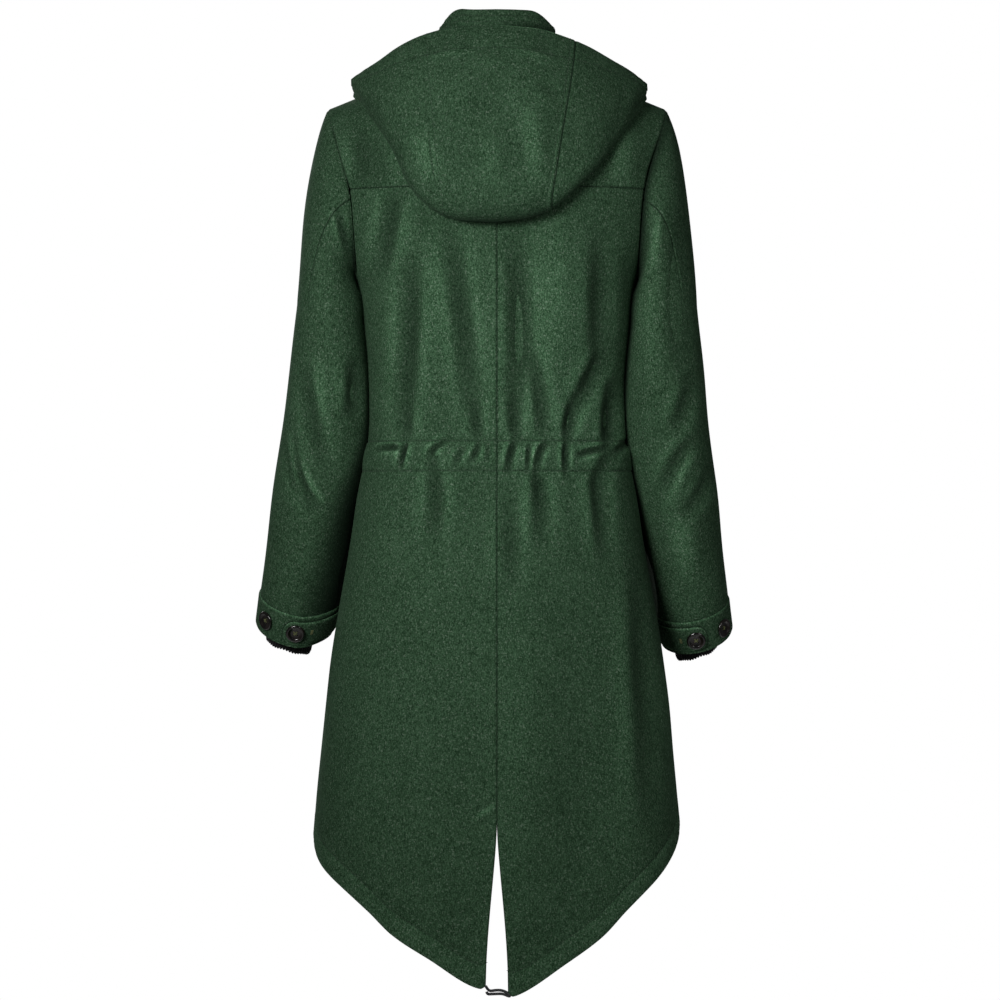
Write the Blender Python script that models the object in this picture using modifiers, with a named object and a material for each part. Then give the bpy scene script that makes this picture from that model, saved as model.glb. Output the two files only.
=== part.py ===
"""A fishtail parka with its hood down, filled out as if worn, with no wearer in it.

Metres, +Z up. The front faces -Y, the back +Y, and the wearer's left is +X. The origin is the middle
of the neck base, where the coat hangs on whoever wears it. Every cloth panel is a wall between an outer
surface worked out from the tables below and the same surface moved in by the cloth's thickness.
"""

import math
from collections import namedtuple

import bmesh
import bpy
import numpy as np
from mathutils import Matrix

WALL = 0.0024  # felted wool and its backing, as one wall
STRIP = 0.0018  # bands, tabs and the fly, laid on a panel
SEAM = 0.0003  # left between two pieces that are sewn together
SQUARENESS = 2.4  # exponent of the body's rings, where 2 is an ellipse

YOKE_Z = -0.145  # back yoke seam, and the height where the fronts start to turn over the shoulder
UNDERARM_Z = -0.250
STRAIGHT_Z = -0.800  # rows are level down to here and then fan out to the curved hem
VENT_Z = -0.858
VENT_SPREAD = math.radians(4.2)  # how far each tail's edge has swung from the centre back at its tip

NECK_WIDTH, NECK_BACK, NECK_FRONT = 0.074, 0.068, 0.078  # from the middle of the neck base
NECK_BACK_Z, NECK_FRONT_Z = -0.002, -0.070
COLLAR_LEAN = 0.88  # the collar's top ring as a share of its base ring
SHOULDER_TIP = (0.188, 0.0, -0.045)
NECK_SHARE = 0.42  # of the yoke's columns that end on the neckline, the others on the shoulder seam

FLY_WIDTH = 0.062
BAND_HEIGHT = 0.039
TAB_TOP, TAB_FOOT = 0.0330, 0.0045  # the tab's edges, measured up from the sleeve's end
TAB_FROM, TAB_TO = 238.0, 73.0  # turns round the sleeve, degrees
TAB_ROUND = 0.013  # length of the tab's rounded end
WRIST_RADIUS = 0.046  # of the band, for lengths along the tab
BUTTON_RADIUS, BUTTON_HEIGHT = 0.0106, 0.0034
BUTTON_SEAT = 0.0006  # a button stands off the cloth on its thread
TAB_BUTTON_TURN, SPARE_BUTTON_TURN = 90, 44  # turns round the sleeve, degrees
RIBS, RIB_HEIGHT, KNIT_WALL = 46, 0.0007, 0.0013
CORD_RADIUS = 0.0016

Ring = namedtuple("Ring", "z half_width back front")
RINGS = (
    Ring(-0.100, 0.1920, 0.121, 0.112),
    Ring(-0.150, 0.1880, 0.124, 0.115),
    Ring(-0.200, 0.1750, 0.124, 0.116),
    Ring(-0.250, 0.1595, 0.1225, 0.1155),
    Ring(-0.300, 0.1540, 0.119, 0.113),
    Ring(-0.360, 0.1500, 0.1145, 0.109),
    Ring(-0.430, 0.1490, 0.112, 0.107),
    Ring(-0.465, 0.1560, 0.116, 0.111),
    Ring(-0.530, 0.1660, 0.127, 0.119),
    Ring(-0.612, 0.1800, 0.138, 0.127),
    Ring(-0.680, 0.1905, 0.146, 0.133),
    Ring(-0.773, 0.2010, 0.154, 0.139),
    Ring(-0.876, 0.2105, 0.161, 0.145),
    Ring(-1.060, 0.2180, 0.168, 0.150),
)

# Hem height round the body: 0 is the centre back, 90 the side seam, 180 the centre front.
Hem = namedtuple("Hem", "turn left right")
HEM = (
    Hem(0.0, -1.0400, -1.0490),
    Hem(4.2, -1.0370, -1.0450),
    Hem(22.3, -1.0065, -1.0125),
    Hem(36.3, -0.9810, -0.9830),
    Hem(45.9, -0.9560, -0.9560),
    Hem(57.2, -0.9320, -0.9280),
    Hem(73.9, -0.9050, -0.8920),
    Hem(90.0, -0.8800, -0.8650),
    Hem(110.0, -0.8710, -0.8625),
    Hem(140.0, -0.8640, -0.8610),
    Hem(180.0, -0.8600, -0.8600),
)

# The left armhole at even turns: 0 is the shoulder tip, 90 the back, 180 the underarm, 270 the front.
Armhole = namedtuple("Armhole", "turn x y z")
ARMHOLE = (
    Armhole(0, 0.1880, 0.000, -0.045),
    Armhole(30, 0.1868, 0.030, -0.064),
    Armhole(60, 0.1805, 0.056, -0.102),
    Armhole(90, 0.1675, 0.071, -0.145),
    Armhole(120, 0.1632, 0.066, -0.190),
    Armhole(150, 0.1605, 0.040, -0.233),
    Armhole(180, 0.1595, 0.000, -0.250),
    Armhole(210, 0.1585, -0.038, -0.233),
    Armhole(240, 0.1570, -0.058, -0.190),
    Armhole(270, 0.1600, -0.062, -0.145),
    Armhole(300, 0.1720, -0.050, -0.102),
    Armhole(330, 0.1840, -0.028, -0.064),
)

# The sleeve below the armhole: the middle of each section and its half sizes.
Arm = namedtuple("Arm", "z x y half_width half_depth")
ARM = (
    Arm(-0.267, 0.1930, 0.008, 0.0360, 0.0680),
    Arm(-0.324, 0.1905, 0.009, 0.0445, 0.0680),
    Arm(-0.382, 0.1915, 0.007, 0.0495, 0.0660),
    Arm(-0.439, 0.1965, 0.000, 0.0520, 0.0630),
    Arm(-0.497, 0.2080, -0.014, 0.0490, 0.0600),
    Arm(-0.554, 0.2165, -0.030, 0.0478, 0.0560),
    Arm(-0.612, 0.2258, -0.050, 0.0454, 0.0515),
    Arm(-0.652, 0.2350, -0.067, 0.0420, 0.0485),
)
ARM_TOP, ARM_END = ARM[0].z, ARM[-1].z
ARM_SPREAD = {1: 0.0038, -1: -0.0030}  # how much wider each cuff is on its outer side
ARM_LIFT = {1: 0.0045, -1: -0.0018}  # and how much higher it hangs
ARM_OFF, CUFF_OFF = 0.0032, 0.0056  # the least room between a sleeve, or its cuff, and the body's side

# The storm cuff inside the sleeve's end: how far below that end, and its size as a share of the sleeve's.
# Its first row is sewn to the sleeve's inside.
Rib = namedtuple("Rib", "below share")
RIB = (Rib(-0.034, 1.00), Rib(-0.012, 0.62), Rib(0.0185, 0.60))

# The hood's pouch, from the centre back out to its corner: its rim, the fold it hangs to, the fold's radius.
Station = namedtuple("Station", "at rim_x rim_y rim_z low_x low_z turn")
HOOD = {
    1: (
        Station(0.00, 0.0000, 0.120, 0.0355, 0.0000, -0.1880, 0.0150),
        Station(0.25, 0.0425, 0.116, 0.0345, 0.0350, -0.1865, 0.0150),
        Station(0.50, 0.0850, 0.103, 0.0260, 0.0665, -0.1770, 0.0140),
        Station(0.62, 0.1113, 0.090, 0.0150, 0.0965, -0.1490, 0.0125),
        Station(0.75, 0.1355, 0.071, 0.0005, 0.1160, -0.1070, 0.0105),
        Station(0.87, 0.1500, 0.053, -0.0065, 0.1390, -0.0690, 0.0085),
        Station(1.00, 0.1645, 0.035, -0.0145, 0.1665, -0.0400, 0.0065),
    ),
    -1: (
        Station(0.00, 0.0000, 0.120, 0.0355, 0.0000, -0.1880, 0.0150),
        Station(0.25, 0.0425, 0.116, 0.0325, 0.0310, -0.1845, 0.0150),
        Station(0.50, 0.0850, 0.103, 0.0215, 0.0600, -0.1740, 0.0140),
        Station(0.62, 0.1060, 0.090, 0.0138, 0.0880, -0.1500, 0.0125),
        Station(0.75, 0.1334, 0.071, 0.0005, 0.1130, -0.1240, 0.0105),
        Station(0.87, 0.1510, 0.053, -0.0075, 0.1400, -0.0850, 0.0085),
        Station(1.00, 0.1680, 0.035, -0.0200, 0.1700, -0.0440, 0.0065),
    ),
}
HOOD_SEAM_AT = 0.50
HOOD_FRONT_TURN = math.radians(125)  # where the hood's edge leaves the neckline, from the centre back
HOOD_PUFF = 0.020  # how far the pouch rounds out beyond a straight line from rim to fold
HOOD_OFF = 0.0045  # between the hood's hidden side and the yoke

# Folds, as troughs seen from behind: three points each along the fold, its depth and its half width.
Fold = namedtuple("Fold", "x0 z0 x1 z1 x2 z2 depth width")
BACK_FOLDS = (
    Fold(0.1142, -0.1560, 0.1220, -0.1922, 0.1332, -0.2280, 0.0035, 0.010),
    Fold(0.0615, -0.1877, 0.0400, -0.2907, 0.0234, -0.4240, 0.0042, 0.011),
    Fold(-0.0203, -0.1933, -0.0200, -0.3060, -0.0191, -0.4200, 0.0036, 0.010),
    Fold(0.0974, -0.2963, 0.1030, -0.3444, 0.1052, -0.4200, 0.0042, 0.010),
    Fold(-0.0460, -0.3500, -0.0539, -0.3830, -0.0583, -0.4150, 0.0030, 0.008),
    Fold(-0.1121, -0.3232, -0.0875, -0.3826, -0.0780, -0.4200, 0.0042, 0.010),
    Fold(-0.1278, -0.3826, -0.1265, -0.4106, -0.1320, -0.4450, 0.0030, 0.009),
    Fold(-0.1600, -0.5600, -0.1640, -0.7000, -0.1700, -0.8700, 0.0050, 0.016),
)

# Gathers that the waist cord draws up between the two rows of stitching.
Gather = namedtuple("Gather", "x lean depth width")
GATHERS = (
    Gather(0.1265, 0.010, 0.0026, 0.0060),
    Gather(0.1052, 0.002, 0.0040, 0.0065),
    Gather(0.0694, -0.012, 0.0034, 0.0065),
    Gather(0.0458, -0.010, 0.0024, 0.0060),
    Gather(0.0246, 0.003, 0.0030, 0.0060),
    Gather(0.0111, 0.002, 0.0022, 0.0050),
    Gather(-0.0169, -0.001, 0.0042, 0.0065),
    Gather(-0.0348, 0.003, 0.0024, 0.0055),
    Gather(-0.0494, 0.004, 0.0030, 0.0060),
    Gather(-0.0763, 0.005, 0.0040, 0.0065),
    Gather(-0.1076, 0.010, 0.0034, 0.0065),
    Gather(-0.1278, 0.006, 0.0026, 0.0060),
)
CASING_TOP, CASING_FOOT = -0.430, -0.464
CASING_PUFF = 0.0022  # the cloth stands out this much between the two rows of stitching

SLEEVE_FOLDS = {
    1: (
        Fold(0.2180, -0.3420, 0.2090, -0.4060, 0.1930, -0.4700, 0.0035, 0.010),
        Fold(0.2340, -0.4380, 0.2230, -0.4800, 0.2050, -0.5100, 0.0032, 0.009),
        Fold(0.1640, -0.3400, 0.1640, -0.3680, 0.1720, -0.3950, 0.0030, 0.010),
    ),
    -1: (
        Fold(-0.2215, -0.3520, -0.2120, -0.3920, -0.1960, -0.4200, 0.0035, 0.010),
        Fold(-0.2320, -0.4250, -0.2050, -0.4520, -0.1900, -0.4850, 0.0035, 0.009),
        Fold(-0.2430, -0.4600, -0.2290, -0.4930, -0.2080, -0.5150, 0.0030, 0.009),
    ),
}

# The elastic across the vent, seen from behind, on the plane of the tails' points: out of the left tail,
# across to the right one, round, and back to its free end.
CordPoint = namedtuple("CordPoint", "x z")
CORD = (
    CordPoint(0.0105, -1.0335),
    CordPoint(0.0070, -1.0380),
    CordPoint(-0.0010, -1.0372),
    CordPoint(-0.0080, -1.0392),
    CordPoint(-0.0104, -1.0425),
    CordPoint(-0.0085, -1.0460),
    CordPoint(-0.0010, -1.0462),
    CordPoint(0.0060, -1.0465),
    CordPoint(0.0098, -1.0445),
)
CORD_Y = 0.1660

# Rows below the underarm. Those above it are where the sleeve's columns meet the armhole.
BACK_ROWS = (
    *(-0.285, -0.320, -0.360, -0.395, -0.418, -0.430, -0.447),
    *(-0.464, -0.476, -0.505, -0.570, -0.640, -0.720, -0.800),
)
FRONT_ROWS = (-0.800, -0.700, -0.610, -0.530, -0.464, -0.430, -0.385, -0.330, -0.285)
HEM_STEPS = 4
BACK_COLUMNS = 22
NECK_COLUMNS, SHOULDER_COLUMNS, YOKE_ROWS = 5, 6, 5  # in each half of the yoke
FRONT_NECK_COLUMNS, FRONT_SHOULDER_COLUMNS = 2, 5  # in a front, past the fly
CAP_ROWS, ARM_ROWS, SLEEVE_COLUMNS = 7, 11, 10
BAND_ROWS = (BAND_HEIGHT, 0.026, 0.013, 0.0)  # heights above the sleeve's end
COLLAR_ROWS = 5
HOOD_SIDE_COLUMNS, HOOD_CENTRE_COLUMNS = 7, 10
HOOD_FRONT_KNOTS = (0, 0.15, 0.3, 0.45, 0.6, 0.75, 0.9)  # shares of the way from rim to fold
HOOD_FOLD_KNOTS = (0, 60, 120, 180)  # degrees round the fold
HOOD_HIDDEN_KNOTS = (0.12, 0.3, 0.5, 0.7, 0.87)  # shares of the way from the fold to the neckline

# Linear colours, roughness.
Cloth = namedtuple("Cloth", "colour roughness")
WOOL = Cloth((0.037, 0.078, 0.043), 0.92)
KNIT = Cloth((0.006, 0.006, 0.007), 0.95)
HORN = Cloth((0.012, 0.009, 0.008), 0.25)
ELASTIC = Cloth((0.030, 0.032, 0.034), 0.60)


def through(keys, values, at):
    """A smooth curve through a table's points that adds no hump of its own between them."""
    keys, values, at = (np.asarray(part, float) for part in (keys, values, at))
    if keys[0] > keys[-1]:
        keys, values = keys[::-1], values[::-1]
    step = np.diff(keys)
    rise = np.diff(values) / step
    slope = np.concatenate(([rise[0]], np.zeros(len(rise) - 1), [rise[-1]]))
    same = rise[:-1] * rise[1:] > 0
    near, far = 2 * step[1:] + step[:-1], step[1:] + 2 * step[:-1]
    with np.errstate(divide="ignore", invalid="ignore"):
        slope[1:-1] = np.where(same, (near + far) / (near / rise[:-1] + far / rise[1:]), 0.0)
    at = np.clip(at, keys[0], keys[-1])
    i = np.clip(np.searchsorted(keys, at, side="right") - 1, 0, len(step) - 1)
    t = (at - keys[i]) / step[i]
    return (values[i] * (1 + 2 * t) * (1 - t) ** 2 + slope[i] * step[i] * t * (1 - t) ** 2
            + values[i + 1] * t * t * (3 - 2 * t) + slope[i + 1] * step[i] * t * t * (t - 1))


def column(table, name, at):
    """One of a table's columns, read at any value of its first column."""
    return through([row[0] for row in table], [getattr(row, name) for row in table], at)


def smooth(value):
    value = np.clip(value, 0.0, 1.0)
    return value * value * (3 - 2 * value)


def unit(vectors):
    return vectors / np.linalg.norm(vectors, axis=-1, keepdims=True)


def points(x, y, z):
    return np.stack(np.broadcast_arrays(x, y, z), axis=-1).astype(float)


def hermite(start, leave, end, arrive, t):
    t = np.asarray(t)[..., None]
    return (start * (1 + 2 * t) * (1 - t) ** 2 + leave * t * (1 - t) ** 2
            + end * t * t * (3 - 2 * t) + arrive * t * t * (t - 1))


def facing(surface, u, v, du, dv):
    """Unit normals of a surface given as a function of two parameters."""
    across = surface(u + du, v) - surface(u - du, v)
    along = surface(u, v + dv) - surface(u, v - dv)
    return unit(np.cross(across, along))


def armhole(turn):
    """The left armhole as the smoothest closed curve through its table, for turns in radians."""
    table = np.array([row[1:] for row in ARMHOLE])
    count = len(table)
    waves = np.arange(-(count // 2), count // 2 + 1)
    weights = np.where(np.abs(waves) == count // 2, 0.5, 1.0) / count
    known = np.radians([row.turn for row in ARMHOLE])
    parts = np.exp(-1j * np.outer(waves, known)) @ table * weights[:, None]
    return np.real(np.exp(1j * np.asarray(turn)[..., None] * waves) @ parts)


def armhole_at(z, back):
    """Where the armhole crosses a height, behind or before the shoulder tip, as x and y."""
    turns = np.radians(np.linspace(60, 180, 241))
    loop = armhole(turns if back else 2 * math.pi - turns)[::-1]
    return np.interp(z, loop[:, 2], loop[:, 0]), np.interp(z, loop[:, 2], loop[:, 1])


def ring_sizes(z, back):
    """The half width and depth of the body's ring at a height. Beside an armhole it runs through that."""
    z = np.asarray(z, float)
    depth = column(RINGS, "back" if back else "front", z)
    x, y = armhole_at(z, back)
    wide = x * (1 - np.minimum(np.abs(y) / depth, 0.95) ** SQUARENESS) ** (-1 / SQUARENESS)
    return np.where(z > UNDERARM_Z, wide, column(RINGS, "half_width", z)), depth


def ring_radius(turn, z):
    """From the middle of the body to its outer face: turn 0 is the centre back, in radians."""
    turn, z = np.broadcast_arrays(np.asarray(turn, float), np.asarray(z, float))
    side, rear = np.abs(np.sin(turn)), np.cos(turn)
    wide_back, deep_back = ring_sizes(z, True)
    wide_front, deep_front = ring_sizes(z, False)
    wide, deep = np.where(rear > 0, wide_back, wide_front), np.where(rear > 0, deep_back, deep_front)
    return ((side / wide) ** SQUARENESS + (np.abs(rear) / deep) ** SQUARENESS) ** (-1 / SQUARENESS)


def body(turn, z):
    radius = ring_radius(turn, z)
    return points(radius * np.sin(turn), radius * np.cos(turn), z)


def body_facing(turn, z):
    return -facing(body, turn, z, 1e-3, 1e-3)


def body_edge(z, back):
    """The turn at which a panel ends: the armhole's edge, or the side seam below the underarm."""
    x, y = armhole_at(z, back)
    return np.where(np.asarray(z) > UNDERARM_Z, np.arctan2(x, y), math.pi / 2)


def neck(turn):
    rear = np.cos(turn)
    front = smooth((np.abs(turn) - math.pi / 2) / (math.pi / 2))
    z = NECK_BACK_Z * np.maximum(rear, 0) ** 2 + NECK_FRONT_Z * front
    return points(NECK_WIDTH * np.sin(turn), np.where(rear > 0, NECK_BACK, NECK_FRONT) * rear, z)


def shoulder_line(u, back):
    """The upper edge of the yoke or of a front: round the neckline and out along the shoulder seam."""
    u = np.asarray(u, float)
    quarter = np.minimum(u / NECK_SHARE, 1.0) * math.pi / 2
    ring = neck(quarter if back else math.pi - quarter)
    out = np.maximum((u - NECK_SHARE) / (1 - NECK_SHARE), 0.0)[..., None]
    return ring + out * (np.array(SHOULDER_TIP) - np.array((NECK_WIDTH, 0.0, 0.0)))


def over_shoulder(u, v, back):
    """From the yoke's seam, v of 0, up to the neckline and the shoulder seam, v of 1, for u from 0 to 1."""
    u, v = np.broadcast_arrays(np.asarray(u, float), np.asarray(v, float))
    ahead = -1 if back else 1
    edge = body_edge(YOKE_Z, back)

    def sheet(at):
        """The cloth before its outer edge is drawn to the armhole."""
        turn = edge * at if back else math.pi - (math.pi - edge) * at
        foot = body(turn, np.full_like(at, YOKE_Z))
        rise = (foot - body(turn, np.full_like(at, YOKE_Z - 0.005))) / 0.005
        top = shoulder_line(at, back)
        seam_side = smooth((at - 0.6 * NECK_SHARE) / (0.7 * NECK_SHARE))[..., None]
        to_neck, to_seam = np.array((0, 0.55 * ahead, 0.45)), np.array((0, 1.15 * ahead, 0.0))
        height = np.linalg.norm(top - foot, axis=-1, keepdims=True)
        arrive = (1 - seam_side) * to_neck + seam_side * to_seam
        return hermite(foot, rise * height * 0.95, top, arrive * height, v)

    loop = armhole((1 - v) * math.pi / 2 if back else 2 * math.pi - (1 - v) * math.pi / 2)
    return sheet(u) + (np.abs(u) ** 4)[..., None] * (loop - sheet(np.ones_like(u)))


def along_fold(fold, count=24):
    """Points along a fold that passes through its three given ones."""
    t = np.linspace(0, 1, count)
    bend_x, bend_z = 2 * fold.x1 - (fold.x0 + fold.x2) / 2, 2 * fold.z1 - (fold.z0 + fold.z2) / 2
    mix = ((1 - t) ** 2, 2 * t * (1 - t), t * t)
    return (mix[0] * fold.x0 + mix[1] * bend_x + mix[2] * fold.x2,
            mix[0] * fold.z0 + mix[1] * bend_z + mix[2] * fold.z2,
            np.sin(np.pi * np.clip(t, 0.04, 0.96)) ** 0.6)


def troughs(folds, x, z):
    """How deep the folds press the cloth in at a place seen from behind."""
    deepest = np.zeros_like(x)
    for fold in folds:
        px, pz, strength = along_fold(fold)
        away = (x[..., None] - px) ** 2 + (z[..., None] - pz) ** 2
        deepest = np.maximum(deepest, fold.depth * (strength * np.exp(-away / fold.width ** 2)).max(axis=-1))
    return deepest


def gathering(x, z):
    """How the waist cord shapes the back: a soft roll between the stitching, pinched in at each gather."""
    middle, half = (CASING_TOP + CASING_FOOT) / 2, (CASING_TOP - CASING_FOOT) / 2
    height = (z - middle) / half
    within = np.exp(-np.abs(height / 1.25) ** 4)
    pinch = np.zeros_like(x)
    for gather in GATHERS:
        place = gather.x + gather.lean * height / 2
        pinch = np.maximum(pinch, gather.depth * np.exp(-((x - place) / gather.width) ** 2))
    roll = CASING_PUFF * np.maximum(1 - height ** 2, 0.0)
    return roll - pinch * within


def arm_frame(z, side):
    """The middle of a sleeve's section, the directions out, back and down along it, and its half sizes."""
    z = np.asarray(z, float)

    def along(at):
        return smooth((ARM_TOP - at) / (ARM_TOP - ARM_END))

    def middle(at):
        x = column(ARM, "x", at) + ARM_SPREAD[side] / 2 * along(at)
        return points(x, column(ARM, "y", at), at + ARM_LIFT[side] * along(at))

    down = unit(middle(z - 0.004) - middle(z + 0.004))
    out = np.array((1.0, 0.0, 0.0))
    out = unit(out - (down @ out)[..., None] * down)
    half_width = column(ARM, "half_width", z) + ARM_SPREAD[side] / 2 * along(z)
    return middle(z), out, np.cross(out, down), down, half_width, column(ARM, "half_depth", z)


def arm(turn, z, side):
    middle, out, rear, _, wide, deep = arm_frame(np.clip(z, ARM_END + 0.004, ARM_TOP - 0.004), side)
    section = middle + out * (wide * np.cos(turn))[..., None] + rear * (deep * np.sin(turn))[..., None]
    return section + points(0, 0, z - np.clip(z, ARM_END + 0.004, ARM_TOP - 0.004))


def clear_of_body(place, off):
    """Moves what would touch the body's side out from it."""
    x, y, z = place[..., 0], place[..., 1], place[..., 2]
    turn, radius = np.arctan2(x, y), np.hypot(x, y)
    on_panel = (turn < body_edge(z, True)) | (turn > body_edge(z, False))
    need = np.where(on_panel & (z < YOKE_Z), ring_radius(turn, np.minimum(z, YOKE_Z)) + off, 0.0)
    grow = np.maximum(need / radius, 1.0)
    return points(x * grow, y * grow, z)


def sleeve(turn, down, side):
    """The sleeve's outer face: down runs from 0 at the armhole to 1 where it hangs free and 2 at its end."""
    turn, down = np.broadcast_arrays(np.asarray(turn, float), np.asarray(down, float))
    start = armhole(turn)
    top = arm(turn, np.full_like(turn, ARM_TOP), side)
    span = np.linalg.norm(top - start, axis=-1, keepdims=True)
    rise = 0.5 * (1 - np.cos(turn))
    leave = points(0.46 + 0.34 * rise ** 2, 0.28 * np.sin(turn), -0.48 + 0.58 * rise ** 3) * span
    arrive = (arm(turn, np.full_like(turn, ARM_TOP - 0.01), side) - top) / 0.01 * span * 1.05
    cap = hermite(start, leave, top, arrive, np.clip(down, -0.01, 1.0))
    hang = arm(turn, ARM_TOP + (ARM_END - ARM_TOP) * (down - 1), side)
    place = np.where((down < 1)[..., None], cap, hang)
    off = ARM_OFF * smooth(down / 0.35) + (CUFF_OFF - ARM_OFF) * smooth((down - 1.65) / 0.15)
    return clear_of_body(place, off)


def sleeve_facing(turn, down, side):
    return -facing(lambda u, v: sleeve(u, v, side), turn, down, 2e-3, 2e-3)


def seam_turns(down, rear):
    """The sleeve's two seams, in radians: they leave the armhole and settle behind and before the elbow."""
    down = np.asarray(down, float)
    settle = smooth(down / 1.15)
    return np.radians(90 - 40 * settle) if rear else np.radians(270 - 34 * settle)


def mirrored(place, side):
    return place * np.array((side, 1.0, 1.0))


def inset(place, edges, gap=SEAM / 2):
    """Draws the named edges of a grid of points in, square to the edge, towards the line beside it."""
    place = place.copy()
    rims = {"first_row": (0, 1, 0), "last_row": (-1, -2, 0),
            "first_column": (0, 1, 1), "last_column": (-1, -2, 1)}
    for edge in edges:
        rim, beside, axis = rims[edge]
        grid = place if axis == 0 else place.swapaxes(0, 1)
        along = unit(np.gradient(grid[rim], axis=0))
        inward = grid[beside] - grid[rim]
        grid[rim] += unit(inward - (inward * along).sum(axis=-1, keepdims=True) * along) * gap
    return place


def material(name, cloth):
    made = bpy.data.materials.new(name)
    made.use_nodes = True
    shader = made.node_tree.nodes["Principled BSDF"]
    shader.inputs["Base Color"].default_value = (*cloth.colour, 1.0)
    shader.inputs["Roughness"].default_value = cloth.roughness
    shader.inputs["Metallic"].default_value = 0.0
    made.diffuse_color = (*cloth.colour, 1.0)
    return made


def keep(name, data, cloth, smooth_shaded=True):
    made = bpy.data.objects.new(name, data)
    data.materials.append(material(name, cloth))
    bpy.data.collections["fishtail_parka"].objects.link(made)
    if smooth_shaded and hasattr(data, "shade_smooth"):
        data.shade_smooth()
        data.set_sharp_from_angle(angle=math.radians(40))
    return made


def wall(name, outer, inner, cloth, tube=False):
    """A closed sheet of cloth: a grid shaped to the outer points, extruded to the inner ones."""
    rows, columns = outer.shape[:2]
    mesh = bmesh.new()
    bmesh.ops.create_grid(mesh, x_segments=columns - 1, y_segments=rows - 1, size=0.5)
    order = mesh.verts.layers.int.new("order")
    mesh.verts.ensure_lookup_table()
    for i, (vert, place) in enumerate(zip(mesh.verts, outer.reshape(-1, 3))):
        vert.co = place
        vert[order] = i
    if tube:
        bmesh.ops.remove_doubles(mesh, verts=mesh.verts[:], dist=1e-6)
    made = bmesh.ops.extrude_face_region(mesh, geom=mesh.faces[:])
    flat = inner.reshape(-1, 3)
    for vert in made["geom"]:
        if isinstance(vert, bmesh.types.BMVert):
            vert.co = flat[vert[order]]
    bmesh.ops.recalc_face_normals(mesh, faces=mesh.faces[:])
    data = bpy.data.meshes.new(name)
    mesh.to_mesh(data)
    mesh.free()
    return keep(name, data, cloth)


def cloth_panel(name, outer, normals, thickness=WALL, cloth=WOOL, tube=False):
    return wall(name, outer, outer - normals * thickness, cloth, tube)


def armhole_levels():
    """Heights of the body's rows from the yoke's seam down to the underarm."""
    return armhole(np.linspace(math.pi / 2, math.pi, SLEEVE_COLUMNS // 2 + 1))[:, 2]


def shoulder_facing(u):
    """Normals on the shoulder seam, the same for the yoke and for the front that meets it."""
    total = 0
    for back in (True, False):
        found = facing(lambda a, b: over_shoulder(a, b, back), u, np.ones_like(u), 1e-3, 1e-3)
        total = total + found * np.sign(found[..., 2:3])
    return unit(total)


def hem_z(turn, side):
    return column(HEM, "left" if side > 0 else "right", np.degrees(turn))


def fanned_rows(levels, turn, side):
    """Level rows down to STRAIGHT_Z and then even steps down to the hem, for each column."""
    upper = np.repeat(np.array(levels)[:, None], len(turn), axis=1)
    step = (np.arange(HEM_STEPS) + 1)[:, None] / HEM_STEPS
    lower = STRAIGHT_Z + (hem_z(turn, side)[None, :] - STRAIGHT_Z) * step
    return upper, lower


def back_panel(side):
    share = np.linspace(0, 1, BACK_COLUMNS + 1)
    upper, lower = fanned_rows((*armhole_levels(), *BACK_ROWS), share * math.pi / 2, side)
    z = np.vstack((upper, lower))
    swing = VENT_SPREAD * smooth((VENT_Z - z) / (VENT_Z + 1.04)) ** 0.75
    edge = body_edge(z, True)
    turn = swing + share[None, :] * (edge - swing)
    place, normals = body(turn, z), body_facing(turn, z)
    x = side * place[..., 0]
    press = gathering(x, z) - troughs(BACK_FOLDS, x, z)
    fade = smooth((1 - share) / 0.12)[None, :] * smooth((YOKE_Z - z) / 0.02)
    place = inset(place + normals * (press * fade)[..., None], ("first_row", "first_column", "last_column"))
    cloth_panel("back_left" if side > 0 else "back_right", mirrored(place, side), mirrored(normals, side))


def front_shares(fly):
    """A front's columns as shares of its width: the closing edge, the fly's edge, then on to the armhole."""
    near = fly + (NECK_SHARE - fly) * np.linspace(0, 1, FRONT_NECK_COLUMNS + 1)[None, :]
    far = np.linspace(NECK_SHARE, 1, FRONT_SHOULDER_COLUMNS + 1)[None, 1:] + 0 * fly
    return np.hstack((0 * fly, near, far))


def fly_share(v):
    """Where the fly's edge runs over the chest, so that the fly keeps its width."""
    u = np.linspace(0, NECK_SHARE, 60)
    across = (over_shoulder(u, np.full_like(u, at), False)[:, 0] for at in v)
    return np.array([[np.interp(FLY_WIDTH / 2, x, u)] for x in across])


def front_grid(side):
    """Outer points and normals of a front, from the hem up to the neckline and the shoulder seam."""
    levels = np.concatenate((np.linspace(hem_z(math.pi, side), STRAIGHT_Z, HEM_STEPS + 1)[:-1],
                             FRONT_ROWS, armhole_levels()[::-1]))[:, None]
    width = math.pi - body_edge(levels, False)
    share = front_shares(FLY_WIDTH / 2 / ring_radius(np.full_like(levels, math.pi), levels) / width)
    turn = math.pi - share * width
    fan = np.clip((STRAIGHT_Z - levels) / (STRAIGHT_Z - levels[0]), 0, 1)
    z = np.where(fan > 0, STRAIGHT_Z + (hem_z(turn, side) - STRAIGHT_Z) * fan, levels)
    v = np.linspace(0, 1, YOKE_ROWS + 1)[1:]
    share = front_shares(fly_share(v))
    chest = over_shoulder(share, v[:, None], False)
    lift = facing(lambda a, b: over_shoulder(a, b, False), share, v[:, None], 1e-3, 1e-3)
    lift = lift * np.sign(lift[..., 2:3] - lift[..., 1:2])
    on_seam = share[-1] >= NECK_SHARE - 1e-9
    lift[-1, on_seam] = shoulder_facing(share[-1, on_seam])
    return np.vstack((body(turn, z), chest)), np.vstack((body_facing(turn, z), lift))


def front_panel(side):
    place, normals = front_grid(side)
    place = inset(place, ("last_row", "first_column", "last_column"))
    cloth_panel("front_left" if side > 0 else "front_right", mirrored(place, side), mirrored(normals, side))


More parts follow.
